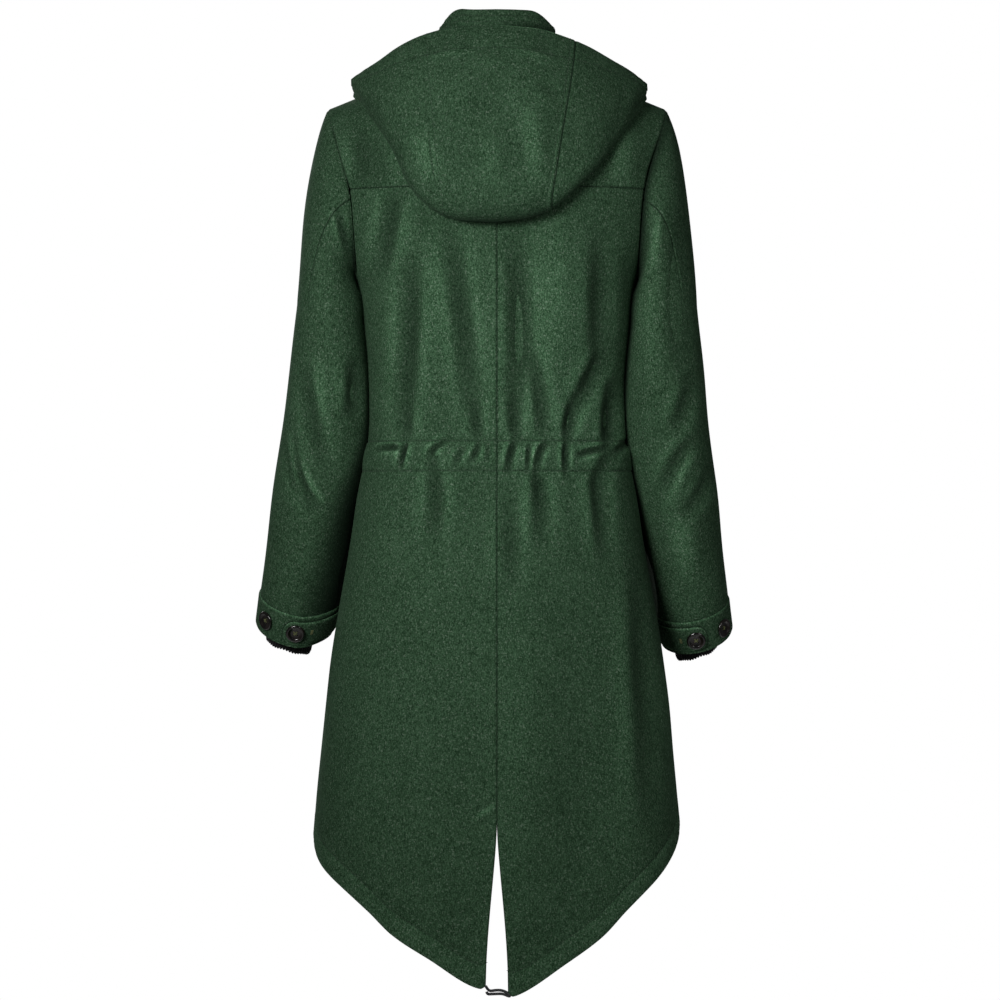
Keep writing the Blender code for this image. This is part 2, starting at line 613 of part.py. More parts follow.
def yoke_shares():
    return np.concatenate((np.linspace(0, NECK_SHARE, NECK_COLUMNS + 1),
                           np.linspace(NECK_SHARE, 1, SHOULDER_COLUMNS + 1)[1:]))


def back_yoke():
    half = yoke_shares()
    share = np.concatenate((-half[:0:-1], half))
    v = np.linspace(0, 1, YOKE_ROWS + 1)[:, None]
    side = np.where(share < 0, -1.0, 1.0)[None, :, None] * np.array((1.0, 0, 0)) + np.array((0, 1.0, 1.0))
    half = np.abs(share)[None, :]
    place = over_shoulder(half, v, True) * side
    normals = facing(lambda a, b: over_shoulder(a, b, True), half, v, 1e-3, 1e-3)
    normals = normals * np.sign(normals[..., 1:2] + normals[..., 2:3])
    on_seam = half[0] >= NECK_SHARE - 1e-9
    normals[-1, on_seam] = shoulder_facing(half[0, on_seam])
    normals = normals * side
    place = inset(place, ("first_row", "last_row", "first_column", "last_column"))
    cloth_panel("yoke_back", place, normals)


def front_fly():
    """A strip over the closed front, on the fronts' own points, from the hem to just under the neckline."""
    (left, left_normals), (right, right_normals) = front_grid(1), front_grid(-1)
    place = np.stack((mirrored(right[:-1, 1], -1), left[:-1, 0], left[:-1, 1]), axis=1)
    beside = mirrored(right_normals[:-1, 1], -1)
    normals = np.stack((beside, left_normals[:-1, 0], left_normals[:-1, 1]), axis=1)
    normals[:, 1, 0] = 0.0
    wall("front_placket", place + normals * (SEAM + STRIP), place + normals * SEAM, WOOL)


def collar_height(turn):
    bend = np.degrees(np.abs(turn))
    return through((0, 35, 75, 120, 180), (0.062, 0.0615, 0.048, 0.044, 0.044), bend)


def collar_at(turn, up):
    """The stand collar's outer face, from the neckline, up of 0, to its top edge."""
    base = neck(turn)
    lean = 1 - (1 - COLLAR_LEAN) * smooth(up * 0.8 + 0.1)
    z = base[..., 2] + up * collar_height(turn)
    return points(base[..., 0] * lean, base[..., 1] * (0.35 + 0.65 * lean), z)


def stand_collar():
    rear = yoke_shares()[: NECK_COLUMNS + 1] / NECK_SHARE * math.pi / 2
    neck_shares = front_shares(fly_share([1.0]))[0, : FRONT_NECK_COLUMNS + 1][::-1] / NECK_SHARE
    fore = math.pi - neck_shares * math.pi / 2
    half = np.minimum(np.concatenate((rear, fore)), math.pi - 0.004)
    turn = np.concatenate((-half[:0:-1], half))[None, :]
    up = np.linspace(0.008, 1, COLLAR_ROWS)[:, None]
    turn, up = np.broadcast_arrays(turn, up)
    normals = facing(collar_at, turn, up, 1e-3, 1e-3)
    place = collar_at(turn, up)
    outward = np.sign((normals * points(place[..., 0], place[..., 1], 0)).sum(axis=-1, keepdims=True))
    cloth_panel("collar", place, normals * outward)


def sleeve_grid(panel):
    cap = np.linspace(0, 1, CAP_ROWS + 1)[:-1] ** 1.3
    cuff = up_from_end(np.array(BAND_ROWS))
    down = np.concatenate((cap, np.linspace(1, cuff[0], ARM_ROWS + 1)[:-1], cuff))[:, None]
    rear, fore = seam_turns(down, True), seam_turns(down, False)
    first, last = (fore - 2 * math.pi, rear) if panel == "upper" else (rear, fore)
    turn = first + (last - first) * np.linspace(0, 1, SLEEVE_COLUMNS + 1)[None, :]
    return turn, down + 0 * turn


def sleeve_outer(turn, down, side):
    """Outer points with the sleeve's folds in them, and their normals, for the left or the mirrored right."""
    place, normals = sleeve(turn, down, side), sleeve_facing(turn, down, side)
    press = troughs(SLEEVE_FOLDS[side], side * place[..., 0], place[..., 2])
    return place - normals * (press * smooth(normals[..., 1] * 2))[..., None], normals


def armhole_facing(turn):
    """The body's normals round the left armhole."""
    turn = np.mod(turn, 2 * math.pi)
    rim = armhole(turn)
    low = body_facing(np.arctan2(rim[..., 0], rim[..., 1]), np.minimum(rim[..., 2], YOKE_Z))
    back = turn < math.pi
    v = np.where(back, 1 - turn / (math.pi / 2), 1 - (2 * math.pi - turn) / (math.pi / 2))
    high = np.empty_like(low)
    for behind in (True, False):
        found = facing(lambda a, b: over_shoulder(a, b, behind), np.ones_like(v), np.clip(v, 0, 1),
                       1e-3, 1e-3)
        found = found * np.sign(found[..., 2:3] + found[..., 0:1])
        high = np.where((back == behind)[..., None], found, high)
    return np.where((v > 0)[..., None], high, low)


def sleeve_panel(panel, side):
    turn, down = sleeve_grid(panel)
    place, normals = sleeve_outer(turn, down, side)
    # The first row meets the armhole's edge. Over the shoulder its rim is parallel to the body's. Under the arm,
    # where the two outer faces fold together, its rim goes up between them.
    ring = turn[0]
    body_normal = armhole_facing(ring)
    along = unit(armhole(ring + 1e-3) - armhole(ring - 1e-3))
    into_sleeve = unit(place[1] - place[0])
    into_sleeve = unit(into_sleeve - (into_sleeve * along).sum(axis=-1, keepdims=True) * along)
    into_body = unit(np.cross(body_normal, along))
    valley = smooth((into_sleeve * body_normal).sum(axis=-1, keepdims=True) * 2)
    folded = unit(body_normal + unit(np.cross(into_sleeve, along)) + into_body + into_sleeve)
    rim = unit((1 - valley) * body_normal + valley * folded)
    place[0] += into_sleeve * SEAM + body_normal * SEAM * valley
    normals[0] = rim
    place = inset(place, ("first_column", "last_column"), SEAM * 0.7)
    hand = "left" if side > 0 else "right"
    cloth_panel(f"sleeve_{panel}_{hand}", mirrored(place, side), mirrored(normals, side))


def up_from_end(height):
    """The sleeve's own measure at a height above its end."""
    return 2 - height / (ARM_TOP - ARM_END) * 0.93


def cuff_grid(side, off):
    """The turn of each column round the sleeve's end, and the points of its last rows, moved out by off."""
    parts = []
    for panel in ("upper", "under"):
        turn, down = (grid[-len(BAND_ROWS):] for grid in sleeve_grid(panel))
        place, normals = sleeve_outer(turn, down, side)
        parts.append((turn[-1], mirrored(place + normals * off, side)))
    (upper_turn, upper), (under_turn, under) = parts
    turns = np.concatenate((under_turn, upper_turn[1:] + 2 * math.pi))
    return turns, np.concatenate((under, upper[:, 1:]), axis=1)


def on_cuff(turn, height, side, off):
    """Places on the flat facets of the sleeve's end, moved out by off."""
    turns, grid = cuff_grid(side, off)
    turn = np.where(turn < turns[0], turn + 2 * math.pi, turn)
    at = np.clip(np.interp(turn, turns, np.arange(len(turns))), 0, len(turns) - 1.001)
    row = np.interp(-height, -np.array(BAND_ROWS), np.arange(len(BAND_ROWS)))
    row = np.clip(row, 0, len(BAND_ROWS) - 1.001)
    i, j = row.astype(int), at.astype(int)
    p, q = (row - i)[..., None], (at - j)[..., None]
    upper = grid[i, j] * (1 - q) + grid[i, j + 1] * q
    lower = grid[i + 1, j] * (1 - q) + grid[i + 1, j + 1] * q
    return upper * (1 - p) + lower * p


def cuff_band(side):
    _, outer = cuff_grid(side, SEAM + STRIP)
    _, inner = cuff_grid(side, SEAM)
    outer[:, -1], inner[:, -1] = outer[:, 0], inner[:, 0]
    wall("cuff_band_left" if side > 0 else "cuff_band_right", outer, inner, WOOL, tube=True)


def cuff_tab(side):
    """A strap over the band, from the sleeve's front seam to its rounded end behind the wrist."""
    turns, _ = cuff_grid(side, 0.0)
    bends = np.degrees(turns[(turns < math.radians(TAB_FROM)) & (turns > math.radians(TAB_TO + 1))])
    tip = TAB_TO + math.degrees(TAB_ROUND / WRIST_RADIUS) * (1 - np.cos(np.radians((0, 25, 50, 75))))
    turn = np.radians(np.unique(np.concatenate((tip, bends, (TAB_FROM - 2,))).round(3)))
    to_end = (turn - math.radians(TAB_TO)) * WRIST_RADIUS / TAB_ROUND
    half = np.sqrt(np.maximum(1 - np.maximum(1 - to_end, 0) ** 2, 0.10)) * (TAB_TOP - TAB_FOOT) / 2
    height = (TAB_TOP + TAB_FOOT) / 2 + half[None, :] * np.linspace(-1, 1, 4)[:, None]
    turn = np.broadcast_to(turn, height.shape)
    base = 2 * SEAM + STRIP
    wall("cuff_tab_left" if side > 0 else "cuff_tab_right", on_cuff(turn, height, side, base + STRIP),
         on_cuff(turn, height, side, base), WOOL)


def button(name, turn, height, side, off):
    """A turned button with a raised rim, sitting on the cloth."""
    profile = ((0.0, 0.55), (0.66, 0.55), (0.78, 0.98), (0.90, 1.0), (1.0, 0.70), (0.92, 0.0), (0.0, 0.0))
    data = bpy.data.meshes.new(name)
    mesh = bmesh.new()
    line = [mesh.verts.new((r * BUTTON_RADIUS, 0, h * BUTTON_HEIGHT)) for r, h in profile]
    for first, second in zip(line, line[1:]):
        mesh.edges.new((first, second))
    mesh.to_mesh(data)
    mesh.free()
    made = keep(name, data, HORN, smooth_shaded=False)
    turned = made.modifiers.new("turned", "SCREW")
    turned.steps = turned.render_steps = 18
    turned.use_merge_vertices = True
    turned.merge_threshold = 1e-5
    turn, height = np.array(math.radians(turn)), np.array(height)
    seat = on_cuff(turn, height, side, off)
    up = unit(on_cuff(turn, height, side, off + 0.01) - seat)
    x = unit(np.cross(np.array((0.0, 0.0, 1.0)), up))
    y = np.cross(up, x)
    seat = seat + up * BUTTON_SEAT
    made.matrix_world = Matrix([[x[i], y[i], up[i], seat[i]] for i in range(3)] + [[0, 0, 0, 1]])


def rib_cuff(side):
    """A ribbed tube sewn inside the sleeve's end. Its inside is plain."""
    count = RIBS * 2
    turn = np.linspace(0, 2 * math.pi, count + 1)
    middle, out, rear, down, wide, deep = arm_frame(np.array(ARM_END + 0.004), side)
    outer, inner = np.empty((len(RIB), count + 1, 3)), np.empty((len(RIB), count + 1, 3))
    sewn = np.full(count + 1, -RIB[0].below)
    outer[0] = mirrored(on_cuff(turn, sewn, side, -WALL - SEAM), side)
    inner[0] = mirrored(on_cuff(turn, sewn, side, -WALL - SEAM - KNIT_WALL), side)
    ridge = np.where(np.arange(count + 1) % 2 == 0, 0.0, RIB_HEIGHT)
    for i, row in enumerate(RIB[1:], 1):
        centre = middle + down * (row.below + 0.004)
        for grid, extra in ((outer, ridge), (inner, np.full(count + 1, -KNIT_WALL))):
            grid[i] = (centre + out * ((wide * row.share + extra) * np.cos(turn))[:, None]
                       + rear * ((deep * row.share + extra) * np.sin(turn))[:, None])
    outer[:, -1], inner[:, -1] = outer[:, 0], inner[:, 0]
    name = "rib_cuff_left" if side > 0 else "rib_cuff_right"
    wall(name, mirrored(outer, side), mirrored(inner, side), KNIT, tube=True)


def skin_samples():
    """Points and normals all over the yoke, the upper back and the upper fronts, both halves."""
    u, v = np.meshgrid(np.linspace(0, 1, 41), np.linspace(0, 1, 31))
    places, normals = [], []
    for back in (True, False):
        places.append(over_shoulder(u, v, back))
        found = facing(lambda a, b: over_shoulder(a, b, back), u, v, 1e-3, 1e-3)
        normals.append(found * np.sign(found[..., 2:3] + found[..., 1:2] * (1 if back else -1)))
    z = np.linspace(YOKE_Z, -0.26, 24)[:, None]
    turn = np.linspace(0, 1, 41)[None, :] * body_edge(z, True)
    places.append(body(turn, z))
    normals.append(body_facing(turn, z + 0 * turn))
    place, normal = (np.concatenate([part.reshape(-1, 3) for part in parts]) for parts in (places, normals))
    return (np.vstack((place, mirrored(place, -1))), np.vstack((normal, mirrored(normal, -1))))


def lifted(place, samples, off):
    """Moves each point that is nearer to the sampled surface than off, or under it, out along its normal."""
    skin, normals = samples
    nearest = np.argmin(((place[:, None, :] - skin[None]) ** 2).sum(axis=-1), axis=1)
    height = ((place - skin[nearest]) * normals[nearest]).sum(axis=-1)
    return place + normals[nearest] * np.maximum(off - height, 0.0)[:, None]


def back_depth(x, z, samples):
    skin = samples[0][samples[1][:, 1] > 0.05]
    return skin[np.argmin((skin[:, 0] - x) ** 2 + (skin[:, 2] - z) ** 2), 1]


def hood_line(at, samples):
    """One line of the hood from its rim down to the fold and up its hidden side to the neckline, in knots."""
    side, share = (1 if at >= 0 else -1), abs(at)
    table = HOOD[side]
    sizes = (float(column(table, name, share)) for name in Station._fields[1:])
    rim_x, rim_y, rim_z, low_x, low_z, turn = sizes
    rim = np.array((side * rim_x, rim_y, rim_z))
    inner_y = back_depth(side * low_x, low_z + turn, samples) + HOOD_OFF
    fold = [np.array((side * low_x, inner_y + turn * (1 + math.cos(bend)),
                      low_z + turn * (1 - math.sin(bend))))
            for bend in np.radians(HOOD_FOLD_KNOTS)]
    puff = np.array((side * 0.25 * share, 1.0, 0.0)) * HOOD_PUFF * (1 - 0.8 * share ** 2)
    front = [rim + (fold[0] - rim) * t + puff * math.sin(math.pi * t ** 0.8) for t in HOOD_FRONT_KNOTS]
    neck_turn = at * HOOD_FRONT_TURN
    seat = neck(np.array(neck_turn))
    outward = unit(points(math.sin(neck_turn), math.cos(neck_turn), 0.0))
    end = seat + outward * 0.0016 + np.array((0, 0, 0.0022))
    hidden = [fold[-1] + (end - fold[-1]) * t for t in HOOD_HIDDEN_KNOTS]
    line = np.array(front + fold + hidden + [end])
    line[3:-1] = lifted(line[3:-1], samples, HOOD_OFF)
    return line


def hood():
    samples = skin_samples()
    sides = np.linspace(HOOD_SEAM_AT, 1, HOOD_SIDE_COLUMNS + 1)
    centre = np.linspace(-HOOD_SEAM_AT, HOOD_SEAM_AT, HOOD_CENTRE_COLUMNS + 1)[1:-1]
    stations = np.concatenate((-sides[::-1], centre, sides))
    place = np.stack([hood_line(at, samples) for at in stations], axis=1)
    hidden = slice(len(HOOD_FRONT_KNOTS) + len(HOOD_FOLD_KNOTS), -1)
    for _ in range(3):  # evens out the hidden side, which follows the yoke
        place[hidden, 1:-1] = (place[hidden, :-2] + 2 * place[hidden, 1:-1] + place[hidden, 2:]) / 4
        place[hidden] = lifted(place[hidden].reshape(-1, 3), samples, HOOD_OFF).reshape(place[hidden].shape)
    normals = unit(np.cross(np.gradient(place, axis=1), np.gradient(place, axis=0)))
    normals = normals * np.sign(normals[3, len(stations) // 2, 1])
    first, second = HOOD_SIDE_COLUMNS, len(stations) - 1 - HOOD_SIDE_COLUMNS
    for name, span, edges in (
        ("hood_side_right", slice(0, first + 1), ("last_column",)),
        ("hood_center", slice(first, second + 1), ("first_column", "last_column")),
        ("hood_side_left", slice(second, None), ("first_column",)),
    ):
        cloth_panel(name, inset(place[:, span], edges, SEAM), normals[:, span])


def drawcord():
    """The elastic as a tube on a smooth line through its own points."""
    knots = np.array(CORD)
    t = np.linspace(0, len(knots) - 1, 25)
    index = np.arange(len(knots))
    line = points(through(index, knots[:, 0], t), CORD_Y, through(index, knots[:, 1], t))
    data = bpy.data.curves.new("hem_drawcord", "CURVE")
    data.dimensions = "3D"
    data.bevel_depth = CORD_RADIUS
    data.bevel_resolution = 2
    data.use_fill_caps = True
    spline = data.splines.new("POLY")
    spline.points.add(len(line) - 1)
    for point, place in zip(spline.points, line):
        point.co = (*place, 1.0)
    keep("hem_drawcord", data, ELASTIC)


def main():
    for old in list(bpy.data.objects):
        bpy.data.objects.remove(old, do_unlink=True)
    bpy.context.scene.collection.children.link(bpy.data.collections.new("fishtail_parka"))
    back_yoke()
    front_fly()
    stand_collar()
    hood()
    drawcord()
    on_tab, on_band = 3 * SEAM + 2 * STRIP, 2 * SEAM + STRIP
    for side, hand in ((1, "left"), (-1, "right")):
        back_panel(side)
        front_panel(side)
        sleeve_panel("upper", side)
        sleeve_panel("under", side)
        cuff_band(side)
        cuff_tab(side)
        rib_cuff(side)
        button(f"button_tab_{hand}", TAB_BUTTON_TURN, (TAB_TOP + TAB_FOOT) / 2, side, on_tab)
        button(f"button_spare_{hand}", SPARE_BUTTON_TURN, (TAB_TOP + TAB_FOOT) / 2, side, on_band)


main()
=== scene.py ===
"""The look of the fishtail parka: close-meshed cloth with its folds and sewing, knit, buttons and cord.

Metres, in the part's frame: +Z up, the back +Y, the wearer's left +X, the origin mid neck base. The tables
are the part's own, with some places moved by a few millimetres. Each panel is laid out again with lines close
together at its seams and stitching, and then shaped by listed folds. Where a value differs from side to
side, 1 is the left and -1 the right.
"""

import math
from collections import namedtuple

import bpy
import numpy as np
from mathutils import Matrix, Vector


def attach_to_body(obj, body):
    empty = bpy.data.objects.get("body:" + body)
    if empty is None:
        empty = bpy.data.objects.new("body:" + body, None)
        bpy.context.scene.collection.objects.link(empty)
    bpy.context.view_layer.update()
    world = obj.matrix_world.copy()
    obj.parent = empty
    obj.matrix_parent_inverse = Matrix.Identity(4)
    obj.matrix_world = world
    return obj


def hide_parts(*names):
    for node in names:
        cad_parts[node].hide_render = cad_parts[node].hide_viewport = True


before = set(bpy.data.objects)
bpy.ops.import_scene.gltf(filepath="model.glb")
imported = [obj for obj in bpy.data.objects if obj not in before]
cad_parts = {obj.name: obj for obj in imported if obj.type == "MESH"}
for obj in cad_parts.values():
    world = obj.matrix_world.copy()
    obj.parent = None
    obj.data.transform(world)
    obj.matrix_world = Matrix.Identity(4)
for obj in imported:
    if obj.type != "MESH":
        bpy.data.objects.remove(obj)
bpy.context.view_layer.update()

WALL = 0.0024  # felted wool and its backing
STRIP = 0.0018  # bands, tabs and the fly
SEAM = 0.0003  # between two layers
SQUARENESS = 2.4  # exponent of the body's rings, where 2 is an ellipse
HAND = {1: "left", -1: "right"}
ALL_EDGES = ("first_row", "last_row", "first_column", "last_column")

YOKE_Z, UNDERARM_Z, STRAIGHT_Z, VENT_Z = -0.145, -0.250, -0.800, -0.858
VENT_SPREAD = math.radians(4.2)  # how far each tail swings from the centre back
TAIL_Z = -1.04
EVEN_OUT = (-0.012, -0.006, 0.0, 0.006, 0.012)  # heights over which the bend at the underarm is evened out
TAIL_CORNER = (0.0040, 0.0075)  # how far the corners beside the vent are rounded off, and over what width

NECK_WIDTH, NECK_BACK, NECK_FRONT = 0.074, 0.068, 0.078
NECK_BACK_Z, NECK_FRONT_Z = -0.002, -0.070
COLLAR_LEAN = 0.88
CollarHeight = namedtuple("CollarHeight", "turn height")
COLLAR_HEIGHT = (
    CollarHeight(0, 0.0620),
    CollarHeight(35, 0.0615),
    CollarHeight(75, 0.0480),
    CollarHeight(120, 0.0440),
    CollarHeight(180, 0.0440),
)
COLLAR_CORNER = (0.0036, 52, 18)  # how much higher its left corner stands, its turn and width in degrees
COLLAR_LINES = (0.0075, 0.0140)  # its two rows of stitching, down from its top edge
SHOULDER_TIP = (0.1945, 0.0, -0.0485)
NECK_SHARE = 0.42  # how much of a half yoke's upper edge is neckline
YOKE_RISE, NEAR_YOKE = 0.95, 0.005  # how far the cloth runs straight on from the yoke's seam, and its step
AT_NECK, AT_SHOULDER = np.array((0, 0.55, 0.45)), np.array((0, 1.15, 0.0))  # how it comes to its upper edge

FLY_WIDTH = 0.062
BAND_HEIGHT = 0.039
TAB_TOP, TAB_FOOT = 0.0330, 0.0045
TAB_MIDDLE, TAB_HALF = (TAB_TOP + TAB_FOOT) / 2, (TAB_TOP - TAB_FOOT) / 2
TAB_FROM, TAB_TO = math.radians(238.0), math.radians(73.0)
TAB_ROUND = 0.013
TAB_LAID, TAB_PLAIN = 0.0142, 0.78  # the half width that its close lines are laid for, and the rest's share
WRIST_RADIUS = 0.046
BUTTON_RADIUS, BUTTON_HEIGHT, BUTTON_SEAT = 0.0110, 0.0034, 0.0006
BUTTON_RAISE = {1: 0.0022, -1: 0.0}  # how far a button sits above the middle of its band
TAB_BUTTON_TURN, SPARE_BUTTON_TURN = 90, 44
BUTTON_THREAD, THREADS_APART, THREAD_RISE = 0.00034, 0.0003, 0.0011
TACK_TURN, TACK_STRANDS, TACK_PITCH, TACK_LENGTH = 112, 5, 0.00055, 0.0055  # the sewn end of a buttonhole
TACK_THREAD = 0.00036
RIBS, RIB_STEPS, RIB_HEIGHT, KNIT_WALL = 46, 8, 0.0009, 0.0013
KNIT_TILT, KNIT_DIP = 0.0025, 0.0045  # how its end hangs lower towards the body, and higher behind and before
KNIT_UNEVEN, RIB_END, KNIT_UP = 0.0006, 0.0017, 0.0016  # how wavy that end is, and how far all is raised
CORD_RADIUS = 0.0016

Ring = namedtuple("Ring", "z half_width back front")
RINGS = (
    Ring(-0.100, 0.1920, 0.121, 0.112),
    Ring(-0.150, 0.1880, 0.124, 0.115),
    Ring(-0.200, 0.1750, 0.124, 0.116),
    Ring(-0.250, 0.1595, 0.1225, 0.1155),
    Ring(-0.300, 0.1540, 0.119, 0.113),
    Ring(-0.360, 0.1500, 0.1145, 0.109),
    Ring(-0.430, 0.1490, 0.112, 0.107),
    Ring(-0.465, 0.1560, 0.116, 0.111),
    Ring(-0.530, 0.1660, 0.127, 0.119),
    Ring(-0.612, 0.1800, 0.138, 0.127),
    Ring(-0.680, 0.1905, 0.146, 0.133),
    Ring(-0.773, 0.2010, 0.154, 0.139),
    Ring(-0.876, 0.2105, 0.161, 0.145),
    Ring(-1.060, 0.2180, 0.168, 0.150),
)

Hem = namedtuple("Hem", "turn left right")
HEM = (
    Hem(0.0, -1.0400, -1.0490),
    Hem(4.2, -1.0370, -1.0450),
    Hem(22.3, -1.0065, -1.0125),
    Hem(36.3, -0.9810, -0.9830),
    Hem(45.9, -0.9560, -0.9560),
    Hem(57.2, -0.9320, -0.9280),
    Hem(73.9, -0.9050, -0.8920),
    Hem(90.0, -0.8800, -0.8650),
    Hem(110.0, -0.8710, -0.8625),
    Hem(140.0, -0.8640, -0.8610),
    Hem(180.0, -0.8600, -0.8600),
)

Armhole = namedtuple("Armhole", "turn x y z")
ARMHOLE = (
    Armhole(0, 0.1945, 0.000, -0.0485),
    Armhole(30, 0.1905, 0.030, -0.066),
    Armhole(60, 0.1790, 0.056, -0.102),
    Armhole(90, 0.1675, 0.071, -0.145),
    Armhole(120, 0.1632, 0.066, -0.190),
    Armhole(150, 0.1605, 0.040, -0.233),
    Armhole(180, 0.1595, 0.000, -0.250),
    Armhole(210, 0.1585, -0.038, -0.233),
    Armhole(240, 0.1570, -0.058, -0.190),
    Armhole(270, 0.1600, -0.062, -0.145),
    Armhole(300, 0.1720, -0.050, -0.102),
    Armhole(330, 0.1880, -0.028, -0.066),
)

Arm = namedtuple("Arm", "z x y half_width half_depth")
ARM = (
    Arm(-0.267, 0.1930, 0.008, 0.0360, 0.0680),
    Arm(-0.324, 0.1905, 0.009, 0.0445, 0.0680),
    Arm(-0.382, 0.1915, 0.007, 0.0495, 0.0660),
    Arm(-0.439, 0.1965, 0.000, 0.0520, 0.0630),
    Arm(-0.497, 0.2080, -0.014, 0.0490, 0.0600),
    Arm(-0.554, 0.2165, -0.030, 0.0478, 0.0560),
    Arm(-0.612, 0.2258, -0.050, 0.0454, 0.0515),
    Arm(-0.652, 0.2350, -0.067, 0.0420, 0.0485),
)
ARM_TOP, ARM_END = ARM[0].z, ARM[-1].z
HANG = ARM_TOP - ARM_END
END_SLANT = 0.93  # a sleeve's fall near its end over its length there
ARM_STEP = 0.004  # over what height a sleeve's direction is taken
ARM_SPREAD = {1: 0.0038, -1: -0.0030}  # how much further out a sleeve's end reaches
ARM_LIFT = {1: 0.0045, -1: -0.0018}  # how much higher a sleeve's end is
ARM_OFF, CUFF_OFF = -0.0012, 0.0056  # a sleeve is pressed a little into the body, and its cuff hangs off it
Cap = namedtuple("Cap", "out low_out back down low_up curve arrive")
CAP = Cap(0.28, 0.52, 0.28, -0.60, 0.70, 1.9, 1.05)  # how a sleeve leaves the armhole, for a cap of length 1
NEAR_TOP = 0.01  # over what height its direction below the cap is taken
REAR_SEAM, FORE_SEAM = (98, 48), (270, 34)  # a sleeve seam's turn at the armhole and how far it comes round
SEAM_SETTLED = 1.15  # where down a sleeve its seams have come round
UNDERARM_TUCK = 0.005  # how far a sleeve is drawn in just under the armhole, so that no gap opens there
TUCK_Z, TUCK_HEIGHT = UNDERARM_Z - 0.02, 0.02
CUFF_RISE = {1: 0.008, -1: 0.0}  # how much higher a cuff's edge lies beside the body
KNIT_ASIDE = {1: 0.0026, -1: -0.0045}  # how far a knit cuff hangs out from the sleeve's middle

Rib = namedtuple("Rib", "below share")
RIB = (Rib(-0.034, 1.00), Rib(-0.012, 0.62), Rib(0.0185, 0.60))

Station = namedtuple("Station", "at rim_x rim_y rim_z low_x low_z turn")
HOOD = {
    1: (
        Station(0.00, 0.0000, 0.120, 0.0355, 0.0000, -0.1880, 0.0150),
        Station(0.25, 0.0425, 0.116, 0.0345, 0.0350, -0.1865, 0.0150),
        Station(0.50, 0.0850, 0.103, 0.0260, 0.0665, -0.1770, 0.0140),
        Station(0.62, 0.1113, 0.090, 0.0150, 0.0965, -0.1490, 0.0125),
        Station(0.75, 0.1355, 0.071, 0.0005, 0.1160, -0.1070, 0.0105),
        Station(0.87, 0.1500, 0.053, -0.0065, 0.1390, -0.0690, 0.0085),
        Station(1.00, 0.1648, 0.035, -0.0145, 0.1626, -0.0400, 0.0065),
    ),
    -1: (
        Station(0.00, 0.0000, 0.120, 0.0355, 0.0000, -0.1880, 0.0150),
        Station(0.25, 0.0425, 0.116, 0.0325, 0.0310, -0.1845, 0.0150),
        Station(0.50, 0.0850, 0.103, 0.0215, 0.0600, -0.1740, 0.0140),
        Station(0.62, 0.1060, 0.090, 0.0138, 0.0880, -0.1500, 0.0125),
        Station(0.75, 0.1334, 0.071, 0.0005, 0.1130, -0.1240, 0.0105),
        Station(0.87, 0.1510, 0.053, -0.0075, 0.1400, -0.0850, 0.0085),
        Station(1.00, 0.1695, 0.035, -0.0200, 0.1690, -0.0440, 0.0065),
    ),
}
HOOD_SEAM_AT = 0.50  # the station of its two seams
HOOD_FRONT_TURN = math.radians(125)  # how far round the neck it is sewn
HOOD_PUFF = 0.020  # how far its outer side swells
HOOD_BULGE, HOOD_END_BULGE = 0.25, 0.4  # how much of that goes sideways, and how much more at its two ends
HOOD_OFF = 0.0045  # how far its hidden side stays off the back
HOOD_SEAT_OUT, HOOD_SEAT_UP = 0.0016, 0.0022  # where it is sewn on, off the neckline
HOOD_SIDE_KNOTS, HOOD_HIDDEN = 8, 11  # knots across a side panel, and the first row on the hidden side
HOOD_HEM, HOOD_END_HEM = 0.031, 0.012  # the width of its rim's hem at the middle and at its two ends

# Folds pressed into the cloth, seen from behind: three points along each, its depth and its half width.
# A negative depth is a ridge. Each fold also carries painted shade in its trough and painted light on its
# swells; a ridge carries painted light. Both grow with depth over width.
Fold = namedtuple("Fold", "x0 z0 x1 z1 x2 z2 depth width")
BACK_FOLDS = (
    Fold(0.1121, -0.1480, 0.1222, -0.1916, 0.1323, -0.2450, 0.0050, 0.011),
    Fold(0.0998, -0.2200, 0.0985, -0.3150, 0.1110, -0.4290, 0.0060, 0.012),
    Fold(0.0560, -0.1850, 0.0403, -0.2860, 0.0257, -0.4290, 0.0055, 0.012),
    Fold(-0.0155, -0.1900, -0.0250, -0.3050, -0.0175, -0.4290, 0.0060, 0.013),
    Fold(-0.1170, -0.1900, -0.1157, -0.2750, -0.1165, -0.3600, 0.0045, 0.012),
    Fold(-0.1240, -0.3300, -0.0977, -0.3740, -0.0760, -0.4270, 0.0060, 0.010),
    Fold(-0.0371, -0.3230, -0.0472, -0.3780, -0.0520, -0.4290, 0.0045, 0.009),
    Fold(-0.1300, -0.3620, -0.1272, -0.4014, -0.1225, -0.4400, 0.0045, 0.009),
    Fold(0.0700, -0.4640, 0.0690, -0.4950, 0.0730, -0.5450, 0.0040, 0.010),
    Fold(-0.0440, -0.4640, -0.0483, -0.4968, -0.0470, -0.5500, 0.0045, 0.010),
    Fold(-0.1130, -0.4640, -0.1160, -0.5000, -0.1220, -0.5700, 0.0050, 0.010),
    Fold(-0.0130, -0.4800, -0.0147, -0.5417, -0.0170, -0.6000, 0.0030, 0.011),
    Fold(-0.1600, -0.5600, -0.1640, -0.7000, -0.1700, -0.8700, 0.0045, 0.014),
    Fold(0.0232, -0.8495, 0.0132, -0.8428, 0.0027, -0.8362, -0.0012, 0.0040),
    Fold(-0.0620, -0.1750, -0.0680, -0.2700, -0.0640, -0.3750, -0.0050, 0.028),
    Fold(-0.0950, -0.3650, -0.0960, -0.3900, -0.0930, -0.4230, -0.0030, 0.011),
    Fold(-0.0850, -0.5600, -0.0850, -0.7700, -0.0700, -1.0300, 0.0050, 0.042),
)
